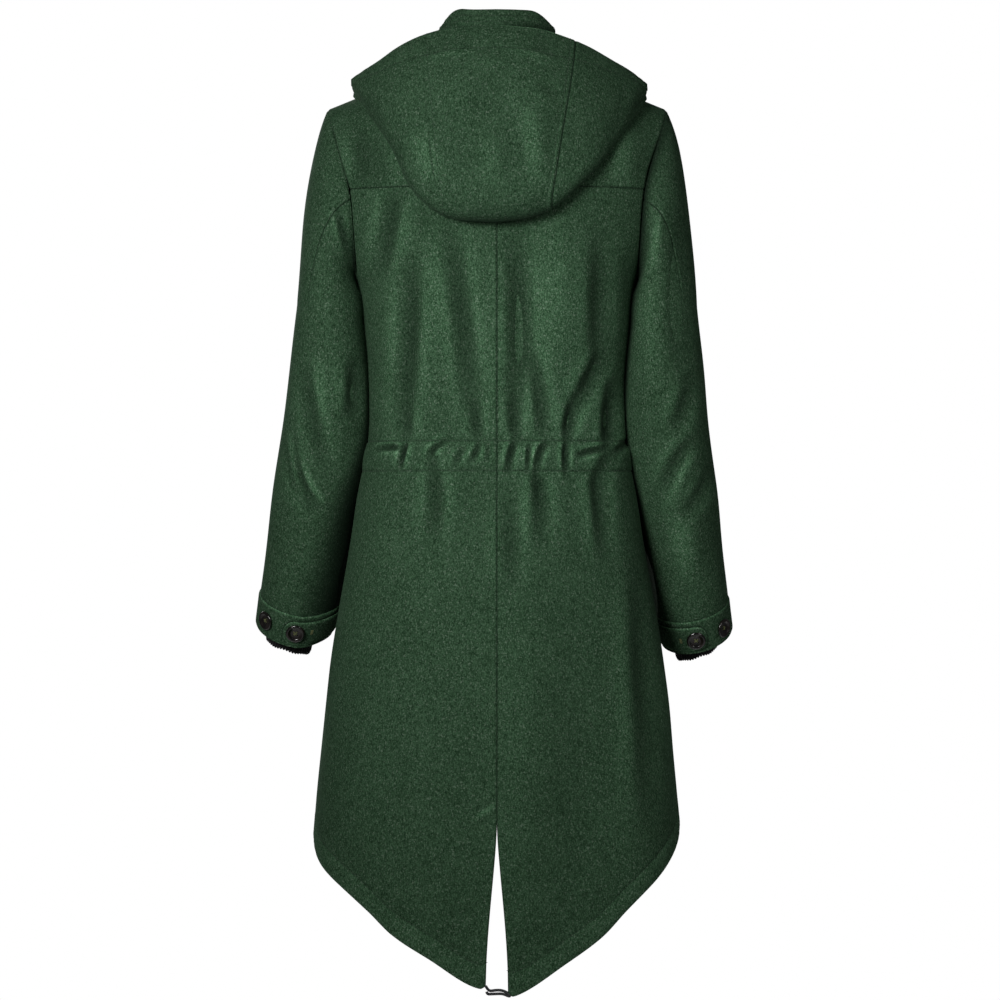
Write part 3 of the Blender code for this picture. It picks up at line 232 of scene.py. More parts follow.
YOKE_FOLDS = (
    Fold(0.1600, -0.0660, 0.1560, -0.1050, 0.1540, -0.1430, 0.0028, 0.010),
    Fold(0.1480, -0.0760, 0.1420, -0.1100, 0.1400, -0.1500, 0.0045, 0.018),
    Fold(-0.1500, -0.0760, -0.1430, -0.1100, -0.1400, -0.1500, -0.0030, 0.018),
)
HOOD_FOLDS = (
    Fold(0.0000, 0.0170, -0.0378, 0.0117, -0.0700, 0.0000, 0.0020, 0.0058),
    Fold(0.0240, 0.0125, 0.0553, 0.0117, 0.0860, 0.0021, 0.0018, 0.0058),
    Fold(0.0230, 0.0060, 0.0080, 0.0040, -0.0080, 0.0060, 0.0008, 0.0080),
    Fold(-0.0489, -0.0348, -0.0588, -0.0415, -0.0699, -0.0493, 0.0014, 0.0070),
    Fold(-0.0340, -0.0560, -0.0400, -0.0980, -0.0440, -0.1500, -0.0030, 0.0160),
    Fold(0.0880, -0.0820, 0.0790, -0.1130, 0.0660, -0.1420, -0.0034, 0.0200),
    Fold(0.0080, -0.0900, 0.0060, -0.1200, 0.0040, -0.1500, -0.0016, 0.0200),
    Fold(0.0150, -0.0150, 0.0130, -0.0450, 0.0150, -0.0750, 0.0018, 0.0200),
)
# The gathers that the waist cord draws up, and where each runs out above and below the casing.
WAIST_FOLDS = (
    Fold(0.1030, -0.4329, 0.1042, -0.4430, 0.1087, -0.4587, 0.0045, 0.0038),
    Fold(0.1333, -0.4396, 0.1199, -0.4374, 0.1064, -0.4396, 0.0030, 0.0040),
    Fold(0.0604, -0.4318, 0.0705, -0.4396, 0.0739, -0.4475, 0.0035, 0.0042),
    Fold(0.0739, -0.4475, 0.0717, -0.4587, 0.0728, -0.4800, 0.0025, 0.0075),
    Fold(0.0391, -0.4396, 0.0425, -0.4475, 0.0459, -0.4564, 0.0020, 0.0040),
    Fold(0.0201, -0.4340, 0.0235, -0.4430, 0.0279, -0.4520, 0.0030, 0.0040),
    Fold(0.0111, -0.4340, 0.0100, -0.4430, 0.0111, -0.4520, 0.0012, 0.0030),
    Fold(-0.0214, -0.4307, -0.0158, -0.4430, -0.0124, -0.4654, 0.0045, 0.0045),
    Fold(-0.0360, -0.4351, -0.0348, -0.4464, -0.0337, -0.4632, 0.0028, 0.0030),
    Fold(-0.0573, -0.4318, -0.0483, -0.4430, -0.0438, -0.4654, 0.0040, 0.0045),
    Fold(-0.0438, -0.4654, -0.0460, -0.4789, -0.0483, -0.4968, 0.0020, 0.0070),
    Fold(-0.0797, -0.4307, -0.0763, -0.4452, -0.0786, -0.4677, 0.0045, 0.0042),
    Fold(-0.0898, -0.4464, -0.1043, -0.4419, -0.1268, -0.4374, 0.0032, 0.0040),
    Fold(-0.1492, -0.4284, -0.1402, -0.4363, -0.1301, -0.4441, 0.0030, 0.0050),
    Fold(-0.1279, -0.4407, -0.1200, -0.4576, -0.1133, -0.4856, 0.0030, 0.0090),
    Fold(0.1042, -0.3903, 0.1030, -0.4127, 0.1019, -0.4295, 0.0025, 0.0080),
    Fold(0.0257, -0.3847, 0.0235, -0.4071, 0.0212, -0.4307, 0.0030, 0.0070),
    Fold(-0.0191, -0.3791, -0.0191, -0.4071, -0.0214, -0.4307, 0.0030, 0.0070),
    Fold(-0.0842, -0.3903, -0.0808, -0.4127, -0.0797, -0.4307, 0.0030, 0.0060),
    Fold(-0.1279, -0.3847, -0.1268, -0.4127, -0.1312, -0.4351, 0.0025, 0.0080),
)
CASING_TOP, CASING_FOOT = -0.430, -0.464  # the two rows of stitching that the waist cord runs between
CASING_PUFF = 0.0030

SLEEVE_FOLDS = {
    1: (
        Fold(0.2180, -0.3420, 0.2090, -0.4060, 0.1930, -0.4700, 0.0035, 0.010),
        Fold(0.2340, -0.4380, 0.2230, -0.4800, 0.2050, -0.5100, 0.0032, 0.009),
        Fold(0.1620, -0.3350, 0.1600, -0.3720, 0.1640, -0.4050, 0.0062, 0.011),
        Fold(0.2243, -0.4375, 0.2139, -0.4752, 0.1887, -0.5060, -0.0014, 0.005),
        Fold(0.2357, -0.4206, 0.2300, -0.4658, 0.2187, -0.4957, -0.0018, 0.0045),
        Fold(0.2030, -0.3350, 0.2015, -0.3720, 0.1990, -0.4080, -0.0018, 0.013),
        Fold(0.1815, -0.1660, 0.1740, -0.1930, 0.1655, -0.2220, 0.0028, 0.0045),
    ),
    -1: (
        Fold(-0.2215, -0.3520, -0.2120, -0.3920, -0.1960, -0.4200, 0.0035, 0.010),
        Fold(-0.2320, -0.4250, -0.2050, -0.4520, -0.1900, -0.4850, 0.0035, 0.009),
        Fold(-0.2430, -0.4600, -0.2290, -0.4930, -0.2080, -0.5150, 0.0030, 0.009),
        Fold(-0.2286, -0.4240, -0.2093, -0.4661, -0.1899, -0.5127, -0.0020, 0.008),
        Fold(-0.1850, -0.1650, -0.1805, -0.2000, -0.1760, -0.2400, -0.0014, 0.0065),
        Fold(-0.2040, -0.1550, -0.2060, -0.2600, -0.2090, -0.3700, 0.0075, 0.022),
        Fold(-0.2040, -0.5050, -0.2130, -0.5480, -0.2220, -0.5950, -0.0042, 0.020),
    ),
}

CordPoint = namedtuple("CordPoint", "x z")
CORD = (
    CordPoint(0.0125, -1.0350),
    CordPoint(0.0088, -1.0398),
    CordPoint(0.0043, -1.0402),
    CordPoint(-0.0019, -1.0397),
    CordPoint(-0.0081, -1.0409),
    CordPoint(-0.0130, -1.0438),
    CordPoint(-0.0142, -1.0462),
    CordPoint(-0.0113, -1.0457),
    CordPoint(-0.0060, -1.0439),
    CordPoint(0.0010, -1.0438),
    CordPoint(0.0063, -1.0440),
    CordPoint(0.0099, -1.0438),
    CordPoint(0.0114, -1.0414),
)
CORD_Y = 0.1660

# Where a panel's lines lie, measured in from an edge, and round each row of stitching.
EDGE_STEPS = (0.0, 0.0004, 0.0010, 0.0018, 0.0030)
STITCH_STEPS = (-0.0016, -0.0008, 0.0, 0.0008, 0.0016)
ROLL, ROLL_WIDTH = 0.0010, 0.0028  # how far a seam's edge turns down, and over what width
GROOVE, GROOVE_WIDTH, SWELL = 0.0006, 0.0010, 0.0006  # a row of stitching, and the double cloth beside it
# painted shade: its width beside a seam, and how dark it is in a row of stitching's groove
SEAM_SHADE_WIDTH, STITCH_SHADE = 0.0014, 0.22
EDGE_LIGHT, EDGE_WIDTH = 0.5, 0.0022  # painted highlight along a turned edge, and over what width
LAP_SHADE, LAP_WIDTH = 0.75, 0.0018  # painted shadow on the cloth beside a piece that laps over it
HEM_LIGHT = 0.10  # how much lighter the cloth's colour is made on the hem's strip, below its stitching
FOLD_SHADE = 1.25  # how much painted shade a fold gets for its depth over its width, and a ridge painted light
# the darkest painted shade that a fold reaches
FOLD_DARKEST = 0.9
FOLD_RUN_OUT = 0.004  # how far a fold fades out past its two ends
FOLD_REACH, FOLD_FALL = 3.2, 1.6  # how many half widths a fold's swell reaches, and how soon it falls off
FOLD_INSIDE = 0.6  # how much of a fold shows on the cloth's inner side
WAVINESS = 0.0005
# painted shade along the yoke's seam, the centre back seam, the upper seams and the armholes
YOKE_SEAM_SHADE, MIDDLE_SEAM_SHADE, UPPER_SEAM_SHADE = 0.8, 0.75, 0.6
ARMHOLE_SHADE = {1: 0.4, -1: 0.75}
ARMHOLE_LIGHT = {1: 0.40, -1: 0.0}  # how much painted light an armhole's crease gets under the yoke
# Down an armhole: how much of the left one's painted seam shade shows, and where its crease is painted light.
Crease = namedtuple("Crease", "z shown")
LEFT_ARMHOLE_DARK = (Crease(-0.240, 1.0), Crease(-0.210, 0.2), Crease(-0.165, 0.2), Crease(-0.145, 1.0))
ARMHOLE_CREASE = (Crease(-0.225, 0.0), Crease(-0.205, 1.0), Crease(-0.160, 1.0), Crease(-0.148, 0.0))
SLIT_SHADE = 0.98  # painted shade on a sleeve in the slit beside the body
# How wide a sleeve's painted shade beside the body is at a height, and how dark it is on the left.
Slit = namedtuple("Slit", "z left_width left_dark right_width")
SLIT = (
    Slit(-0.60, 0.060, 1.00, 0.009),
    Slit(-0.50, 0.042, 1.00, 0.009),
    Slit(-0.42, 0.016, 1.00, 0.010),
    Slit(-0.38, 0.009, 0.90, 0.010),
    Slit(-0.34, 0.008, 0.35, 0.011),
    Slit(-0.30, 0.008, 0.30, 0.013),
    Slit(-0.26, 0.008, 0.35, 0.015),
    Slit(-0.24, 0.008, 0.85, 0.015),
    Slit(-0.22, 0.008, 1.00, 0.015),
    Slit(-0.19, 0.008, 0.20, 0.014),
    Slit(-0.16, 0.008, 0.00, 0.012),
)
UNDER_SHADE, HOOD_ROLL = 0.6, 0.034  # painted shade on the hood where it turns under, and how far up that reaches
RIDGE_LIGHT = 0.16  # painted highlight on the ridge beside the hood's right seam
RIGHT_SEAM_OUT = 0.30  # how far the right seam lies outside its line of knots, in columns
RIM_SHADE, RIM_OFF = 0.75, 0.0060  # painted shadow of the hood's rim on the collar above it, on the right, and up to where
SIDE_SHADE, SIDE_WIDTH = 0.95, 0.03  # painted shade on the fronts behind the sleeves, and over what width
CUFF_SIDE_WIDTH = {1: 0.012, -1: 0.070}  # over what width the back gets painted shade beside a cuff
BY_CUFF = (-0.70, -0.65, -0.56, -0.50)  # the heights at which that begins, is full, and ends again
BEHIND_SLEEVE = (-0.70, -0.66, -0.28, -0.25)  # the same for the fronts
# painted shade along a sleeve's seams
SLEEVE_SEAM_SHADE = 0.85
SLEEVE_SEAM_FADES = (0.08, 0.09)  # how far down a sleeve its seams begin to fade out, and over what length
HEM_LINE, HOOD_LINE = 0.027, 0.0065  # how far in the stitching at the hem and beside the hood's seams lies
LIGHTEN, DARKEN = 2.4, 0.9  # how much lighter a full painted light, or darker a full painted shade, makes the wool
CLOTH_CORNER, HORN_CORNER = math.radians(55), math.radians(40)  # from what angle on an edge stays sharp


def spline(keys, values, at):
    """The curve of least bending through a table's points. It runs on straight past the table's ends."""
    keys, values, at = (np.asarray(part, float) for part in (keys, values, at))
    if keys[0] > keys[-1]:
        keys, values = keys[::-1], values[::-1]
    count, step = len(keys), np.diff(keys)
    system = np.eye(count)
    for i in range(1, count - 1):
        system[i, i - 1 : i + 2] = step[i - 1], 2 * (step[i - 1] + step[i]), step[i]
    rise = np.diff(values, axis=0) / step.reshape((-1,) + (1,) * (values.ndim - 1))
    wanted = np.zeros_like(values)
    wanted[1:-1] = 6 * np.diff(rise, axis=0)
    bend = np.linalg.solve(system, wanted)
    i = np.clip(np.searchsorted(keys, at, side="right") - 1, 0, count - 2)
    wide, more = step[i], at - keys[i]
    if values.ndim > 1:
        wide, more = wide[..., None], more[..., None]
    left = wide - more
    return ((bend[i] * left**3 + bend[i + 1] * more**3) / (6 * wide)
            + (values[i] / wide - bend[i] * wide / 6) * left
            + (values[i + 1] / wide - bend[i + 1] * wide / 6) * more)


def through(keys, values, at):
    """A smooth curve through a table's points that adds no hump of its own between them."""
    keys, values, at = (np.asarray(part, float) for part in (keys, values, at))
    if keys[0] > keys[-1]:
        keys, values = keys[::-1], values[::-1]
    step = np.diff(keys)
    rise = np.diff(values) / step
    slope = np.concatenate(([rise[0]], np.zeros(len(rise) - 1), [rise[-1]]))
    same = rise[:-1] * rise[1:] > 0
    near, far = 2 * step[1:] + step[:-1], step[1:] + 2 * step[:-1]
    with np.errstate(divide="ignore", invalid="ignore"):
        slope[1:-1] = np.where(same, (near + far) / (near / rise[:-1] + far / rise[1:]), 0.0)
    at = np.clip(at, keys[0], keys[-1])
    i = np.clip(np.searchsorted(keys, at, side="right") - 1, 0, len(step) - 1)
    t = (at - keys[i]) / step[i]
    return (values[i] * (1 + 2 * t) * (1 - t) ** 2 + slope[i] * step[i] * t * (1 - t) ** 2
            + values[i + 1] * t * t * (3 - 2 * t) + slope[i + 1] * step[i] * t * t * (t - 1))


def column(table, name, at, curve=through):
    """One of a table's columns, read at any value of its first column."""
    return curve([row[0] for row in table], [getattr(row, name) for row in table], at)


def smooth(value):
    value = np.clip(value, 0.0, 1.0)
    return value * value * (3 - 2 * value)


def fade(value):
    return 1 - smooth(value)


def bell(value):
    return np.exp(-(value**2))


def within(z, heights):
    """1 between the middle two of four heights, and 0 past the outer two."""
    start, full, still, end = heights
    return smooth((z - start) / (full - start)) * fade((z - still) / (end - still))


def unit(vectors):
    return vectors / np.linalg.norm(vectors, axis=-1, keepdims=True)


def points(x, y, z):
    return np.stack(np.broadcast_arrays(x, y, z), axis=-1).astype(float)


def hermite(start, leave, end, arrive, t):
    t = np.asarray(t)[..., None]
    return (start * (1 + 2 * t) * (1 - t) ** 2 + leave * t * (1 - t) ** 2
            + end * t * t * (3 - 2 * t) + arrive * t * t * (t - 1))


def facing(surface, u, v, step=1e-3):
    """Unit normals of a surface given as a function of two parameters."""
    across = surface(u + step, v) - surface(u - step, v)
    along = surface(u, v + step) - surface(u, v - step)
    return unit(np.cross(across, along))


def armhole(turn):
    """The left armhole as the smoothest closed curve through its table, for turns in radians."""
    table = np.array([row[1:] for row in ARMHOLE])
    count = len(table)
    waves = np.arange(-(count // 2), count // 2 + 1)
    weights = np.where(np.abs(waves) == count // 2, 0.5, 1.0) / count
    known = np.radians([row.turn for row in ARMHOLE])
    parts = np.exp(-1j * np.outer(waves, known)) @ table * weights[:, None]
    return np.real(np.exp(1j * np.asarray(turn)[..., None] * waves) @ parts)


def armhole_at(z, back):
    """Where the armhole crosses a height, behind or before the shoulder tip, as x and y."""
    turns = np.radians(np.linspace(60, 180, 481))
    loop = armhole(turns if back else 2 * math.pi - turns)[::-1]
    return np.interp(z, loop[:, 2], loop[:, 0]), np.interp(z, loop[:, 2], loop[:, 1])


def ring_sizes(z, back):
    """The half width and depth of the body's ring at a height. It passes through the armhole's edge."""
    z = np.asarray(z, float)
    depth = column(RINGS, "back" if back else "front", z, spline)
    wide = np.zeros_like(z)
    for near in EVEN_OUT:
        x, y = armhole_at(z + near, back)
        beside = x * (1 - np.minimum(np.abs(y) / depth, 0.95) ** SQUARENESS) ** (-1 / SQUARENESS)
        wide += np.where(z + near > UNDERARM_Z, beside, column(RINGS, "half_width", z + near, spline))
    return wide / len(EVEN_OUT), depth


def ring_radius(turn, z):
    """From the middle of the body to its outer face: turn 0 is the centre back, in radians."""
    turn, z = np.broadcast_arrays(np.asarray(turn, float), np.asarray(z, float))
    side, rear = np.abs(np.sin(turn)), np.cos(turn)
    wide_back, deep_back = ring_sizes(z, True)
    wide_front, deep_front = ring_sizes(z, False)
    wide, deep = np.where(rear > 0, wide_back, wide_front), np.where(rear > 0, deep_back, deep_front)
    return ((side / wide) ** SQUARENESS + (np.abs(rear) / deep) ** SQUARENESS) ** (-1 / SQUARENESS)


def body(turn, z):
    radius = ring_radius(turn, z)
    return points(radius * np.sin(turn), radius * np.cos(turn), z)


def body_edge(z, back):
    """The turn at which a panel ends: the armhole's edge, or the side seam below the underarm."""
    x, y = armhole_at(z, back)
    return np.where(np.asarray(z) > UNDERARM_Z, np.arctan2(x, y), math.pi / 2)


def neck(turn):
    rear = np.cos(turn)
    front = smooth((np.abs(turn) - math.pi / 2) / (math.pi / 2))
    z = NECK_BACK_Z * np.maximum(rear, 0) ** 2 + NECK_FRONT_Z * front
    return points(NECK_WIDTH * np.sin(turn), np.where(rear > 0, NECK_BACK, NECK_FRONT) * rear, z)


def shoulder_line(u, back):
    """The upper edge of the yoke or of a front: round the neckline and out along the shoulder seam."""
    quarter = np.minimum(u / NECK_SHARE, 1.0) * math.pi / 2
    ring = neck(quarter if back else math.pi - quarter)
    out = np.maximum((u - NECK_SHARE) / (1 - NECK_SHARE), 0.0)[..., None]
    return ring + out * (np.array(SHOULDER_TIP) - np.array((NECK_WIDTH, 0.0, 0.0)))


def over_shoulder(u, v, back):
    """From the yoke's seam, v of 0, up to the neckline and the shoulder seam, v of 1, for the left half."""
    u, v = np.broadcast_arrays(np.asarray(u, float), np.asarray(v, float))
    ahead = np.array((1, -1 if back else 1, 1))
    edge = body_edge(YOKE_Z, back)

    def sheet(at):
        turn = edge * at if back else math.pi - (math.pi - edge) * at
        foot = body(turn, np.full_like(at, YOKE_Z))
        rise = (foot - body(turn, np.full_like(at, YOKE_Z - NEAR_YOKE))) / NEAR_YOKE
        top = shoulder_line(at, back)
        seam_side = smooth((at - 0.6 * NECK_SHARE) / (0.7 * NECK_SHARE))[..., None]
        height = np.linalg.norm(top - foot, axis=-1, keepdims=True)
        arrive = ((1 - seam_side) * AT_NECK + seam_side * AT_SHOULDER) * ahead
        return hermite(foot, rise * height * YOKE_RISE, top, arrive * height, v)

    loop = armhole((1 - v) * math.pi / 2 if back else 2 * math.pi - (1 - v) * math.pi / 2)
    return sheet(u) + (np.abs(u) ** 4)[..., None] * (loop - sheet(np.ones_like(u)))


def yoke_at(u, v):
    """The whole yoke: u runs from -1 at the right armhole to 1 at the left one."""
    return mirrored(over_shoulder(np.abs(u), v, True), np.where(u < 0, -1.0, 1.0))


def arm_frame(z, side):
    """The middle of a sleeve's section, the directions out, back and down along it, and its half sizes."""
    z = np.asarray(z, float)

    def along(at):
        return smooth((ARM_TOP - at) / HANG)

    def middle(at):
        x = column(ARM, "x", at, spline) + ARM_SPREAD[side] / 2 * along(at)
        return points(x, column(ARM, "y", at, spline), at + ARM_LIFT[side] * along(at))

    down = unit(middle(z - ARM_STEP) - middle(z + ARM_STEP))
    out = np.array((1.0, 0.0, 0.0))
    out = unit(out - (down @ out)[..., None] * down)
    half_width = column(ARM, "half_width", z, spline) + ARM_SPREAD[side] / 2 * along(z)
    return middle(z), out, np.cross(out, down), down, half_width, column(ARM, "half_depth", z, spline)


def arm(turn, z, side):
    held = np.clip(z, ARM_END + ARM_STEP, ARM_TOP - ARM_STEP)
    middle, out, rear, _, wide, deep = arm_frame(held, side)
    section = middle + out * (wide * np.cos(turn))[..., None] + rear * (deep * np.sin(turn))[..., None]
    return section + points(0, 0, z - held)


def clear_of_body(place, off):
    """Moves what would touch the body's side out from it."""
    x, y, z = place[..., 0], place[..., 1], place[..., 2]
    turn, radius = np.arctan2(x, y), np.hypot(x, y)
    on_panel = (turn < body_edge(z, True)) | (turn > body_edge(z, False))
    need = np.where(on_panel & (z < YOKE_Z), ring_radius(turn, np.minimum(z, YOKE_Z)) + off, 0.0)
    grow = np.maximum(need / radius, 1.0)
    return points(x * grow, y * grow, z)


def sleeve(turn, down, side):
    """The sleeve's outer face: down runs from 0 at the armhole to 1 where it hangs free and 2 at its end."""
    turn, down = np.broadcast_arrays(np.asarray(turn, float), np.asarray(down, float))
    start = armhole(turn)
    top = arm(turn, np.full_like(turn, ARM_TOP), side)
    span = np.linalg.norm(top - start, axis=-1, keepdims=True)
    low = 0.5 * (1 - np.cos(turn))
    outwards, downwards = CAP.out + CAP.low_out * low, CAP.down + CAP.low_up * low**CAP.curve
    leave = points(outwards, CAP.back * np.sin(turn), downwards)
    arrive = (arm(turn, np.full_like(turn, ARM_TOP - NEAR_TOP), side) - top) / NEAR_TOP * span * CAP.arrive
    cap = hermite(start, leave * span, top, arrive, np.clip(down, -0.01, 1.0))
    hang = arm(turn, ARM_TOP - HANG * (down - 1), side)
    place = np.where((down < 1)[..., None], cap, hang)
    inner = smooth(-np.cos(turn))
    tuck = UNDERARM_TUCK * inner * smooth(down / 0.3) * bell((place[..., 2] - TUCK_Z) / TUCK_HEIGHT)
    place = place + points(-tuck, 0.0, CUFF_RISE[side] * inner * smooth((down - 1.75) / 0.25))
    off = ARM_OFF * smooth(down / 0.35) + (CUFF_OFF - ARM_OFF) * smooth((down - 1.65) / 0.15)
    return clear_of_body(place, off)


def off_body(place):
    """How far a place on the left lies out from the body's face, below the yoke."""
    turn, radius = np.arctan2(place[..., 0], place[..., 1]), np.hypot(place[..., 0], place[..., 1])
    return radius - ring_radius(turn, np.minimum(place[..., 2], YOKE_Z))


def in_slit(place, side):
    """Painted shade on a sleeve in the slit beside the body. The left slit all but closes below the underarm.
    """
    z = place[..., 2]
    wide = column(SLIT, "left_width" if side > 0 else "right_width", z)
    dark = column(SLIT, "left_dark", z) if side > 0 else 1.0
    return SLIT_SHADE * fade(off_body(place) / wide) * dark


def by_armhole(z, side):
    """Painted shade along the armhole's seam. The left one hardly shows just under the yoke."""
    return ARMHOLE_SHADE[side] * (column(LEFT_ARMHOLE_DARK, "shown", z) if side > 0 else 1.0)


def armhole_light(away, z, side):
    """Painted light in an armhole's crease under the yoke, which lightens the crease's shade."""
    return ARMHOLE_LIGHT[side] * column(ARMHOLE_CREASE, "shown", z) * fade(away / (1.6 * SEAM_SHADE_WIDTH))


def seam_turns(down, rear):
    """One of a sleeve's seams, in radians: it leaves the armhole and settles behind or before the elbow."""
    start, comes_round = REAR_SEAM if rear else FORE_SEAM
    return np.radians(start - comes_round * smooth(down / SEAM_SETTLED))


def up_from_end(height):
    """The sleeve's own measure at a height above its end."""
    return 2 - height / HANG * END_SLANT


def hem_z(turn, side):
    return column(HEM, "left" if side > 0 else "right", np.degrees(turn))


def collar_at(turn, up):
    """The stand collar's outer face, from the neckline, up of 0, to its top edge."""
    degrees = np.degrees(turn)
    higher, corner, wide = COLLAR_CORNER
    height = column(COLLAR_HEIGHT, "height", np.abs(degrees)) + higher * bell((degrees - corner) / wide)
    base = neck(turn)
    lean = 1 - (1 - COLLAR_LEAN) * smooth(up * 0.8 + 0.1)
    return points(base[..., 0] * lean, base[..., 1] * (0.35 + 0.65 * lean), base[..., 2] + up * height)


def mirrored(place, side):
    side = np.asarray(side, float)
    return place * points(side, np.ones_like(side), np.ones_like(side))


def along_fold(fold, count=90):
    """Points along a fold that passes through its three given ones, and how deep it is at each."""
    more = FOLD_RUN_OUT / math.hypot(fold.x2 - fold.x0, fold.z2 - fold.z0)
    t = np.linspace(-more, 1 + more, count)
    bend_x, bend_z = 2 * fold.x1 - (fold.x0 + fold.x2) / 2, 2 * fold.z1 - (fold.z0 + fold.z2) / 2
    mix = ((1 - t) ** 2, 2 * t * (1 - t), t * t)
    return (mix[0] * fold.x0 + mix[1] * bend_x + mix[2] * fold.x2,
            mix[0] * fold.z0 + mix[1] * bend_z + mix[2] * fold.z2,
            np.sin(np.pi * np.linspace(0, 1, count)))


def pressed(folds, x, z):
    """How deep folds press the cloth in, seen from behind, with swells beside them, and their painted shade
    and light.
    """
    press, dark = np.zeros_like(x), np.zeros_like(x)
    for fold in folds:
        px, pz, strength = along_fold(fold)
        reach = FOLD_REACH * fold.width
        near = (x > px.min() - reach) & (x < px.max() + reach)
        near &= (z > pz.min() - reach) & (z < pz.max() + reach)
        away = (x[near][:, None] - px) ** 2 + (z[near][:, None] - pz) ** 2
        nearest = np.argmin(away, axis=1)[:, None]
        apart = np.take_along_axis(away, nearest, axis=1)[:, 0] / fold.width**2
        wave = fold.depth * strength[nearest[:, 0]] * (1 - apart) * np.exp(-apart / FOLD_FALL)
        press[near] += wave
        dark[near] += FOLD_SHADE * wave / fold.width
    return press, np.where(dark > 0, FOLD_DARKEST * np.tanh(dark / FOLD_DARKEST), dark)


def casing_roll(z):
    """How far the waist casing stands out between its two rows of stitching."""
    middle, half = (CASING_TOP + CASING_FOOT) / 2, (CASING_TOP - CASING_FOOT) / 2
    return CASING_PUFF * np.maximum(1 - ((z - middle) / half) ** 2, 0.0)


def uneven(x, z):
    """Slight waviness over a hand's breadth, as hanging cloth has."""
    return WAVINESS * (np.sin(61 * x + 2.3 * np.sin(17 * z)) + np.sin(43 * z + 1.7 * np.sin(23 * x) + 1.0))


def marks(*lines):
    """Distances from an edge at which a panel needs lines: its turned-down rim and each row of stitching."""
    return np.array(sorted({*EDGE_STEPS, *(line + step for line in lines for step in STITCH_STEPS)}))


RIM = marks()
BARE = np.array((0.0,))  # an edge that another part of the same panel goes on from
ON_STITCHING = np.array([step for step in STITCH_STEPS if step >= 0])


def lengths(place):
    """How far each point of a grid lies along its row from the row's first point."""
    step = np.linalg.norm(np.diff(place, axis=1), axis=-1)
    return np.concatenate((np.zeros_like(step[:, :1]), np.cumsum(step, axis=1)), axis=1)


def away_from_edges(place):
    across, along = lengths(place), lengths(place.swapaxes(0, 1)).T
    return {"first_column": across, "last_column": across[:, -1:] - across,
            "first_row": along, "last_row": along[-1:] - along}


def relaid(u, v, surface, first, last, grain):
    """Each row of a grid with new points: at the given distances from its ends, and evenly between them."""
    run = lengths(surface(u, v))
    count = max(3, int(np.median(run[:, -1]) / grain))
    even = np.linspace(0, 1, count + 2)[1:-1]
    first, last = (np.broadcast_to(part, (len(u), np.shape(part)[-1])) for part in (first, last))
    found = []
    for i, row in enumerate(run):
        near, far = first[i], row[-1] - last[i][::-1]
        at = np.concatenate((near, near[-1] + (far[0] - near[-1]) * even, far))
        found.append((np.interp(at, row, u[i]), np.interp(at, row, v[i])))
    return np.array([u for u, _ in found]), np.array([v for _, v in found])


def laid(u, v, surface, columns, rows, grain):
    """A grid's two parameters laid out again, with lines at the given distances from its four edges."""
    u, v = relaid(u, v, surface, *columns, grain[0])
    u, v = relaid(u.T, v.T, surface, *rows, grain[1])
    return u.T, v.T


Panel = namedtuple("Panel", "place normals away")


def panel_of(surface, u, v, outward):
    """A panel on a surface. Its normals are turned to face the way that outward gives."""
    place, normals = surface(u, v), facing(surface, u, v)
    turned = np.sign((normals * outward(place)).sum(axis=-1, keepdims=True))
    return Panel(place, normals * turned, away_from_edges(place))


def from_middle(place):
    return points(place[..., 0], place[..., 1], 0.0)


def puckers(along):
    """How cloth draws up unevenly along a row of stitching."""
    return 1 + 0.35 * np.sin(along * 560 + 2.0 * np.sin(along * 97)) + 0.25 * np.sin(along * 231 + 0.7)


def sewn(away, along, line):
    """Height beside a row of stitching: a groove on it and a swell between it and the edge."""
    groove = GROOVE * bell((away - line) / GROOVE_WIDTH)
    swell = SWELL * np.sin(np.pi * np.clip(away / line, 0, 1)) ** 0.7
    return (swell - groove) * puckers(along)


ACROSS = {"first_row": "first_column", "last_row": "first_column",
          "first_column": "first_row", "last_column": "first_row"}


def edged(panel, seams=(), lines=()):
    """Heights at a panel's edges: seams turn down, and rows of stitching lie at (edge, distance)."""
    height = np.zeros(panel.place.shape[:2])
    for edge in seams:
        height -= ROLL * fade(panel.away[edge] / ROLL_WIDTH)
    for edge, line in lines:
        height += sewn(panel.away[edge], panel.away[ACROSS[edge]], line)
    return height


def in_groove(away):
    """Painted shade in a row of stitching's groove, at a distance from it."""
    return STITCH_SHADE * bell(away / GROOVE_WIDTH)


def shade_at(panel, seams=None, lines=()):
    """Painted shade at a panel's seams, each as given from 0 to 1, and in its rows of stitching."""
    dark = np.zeros(panel.place.shape[:2])
    for edge, strength in (seams or {}).items():
        dark = np.maximum(dark, strength * fade(panel.away[edge] / SEAM_SHADE_WIDTH))
    for edge, line in lines:
        dark = np.maximum(dark, in_groove(panel.away[edge] - line))
    return dark


def with_folds(dark, in_folds):
    """A panel's painted seam shade together with its folds' painted shade, which is painted light on swells
    and ridges.
    """
    return np.where(dark > 0.02, np.maximum(dark, in_folds), in_folds)


def light_rim(panel, *edges):
    """Painted highlight along a panel's turned edges."""
    return -EDGE_LIGHT * np.max([fade(panel.away[edge] / EDGE_WIDTH) for edge in edges], axis=0)


def grid_faces(rows, columns, start=0):
    corner = start + np.arange(rows - 1)[:, None] * columns + np.arange(columns - 1)
    return np.stack((corner, corner + 1, corner + columns + 1, corner + columns), axis=-1).reshape(-1, 4)


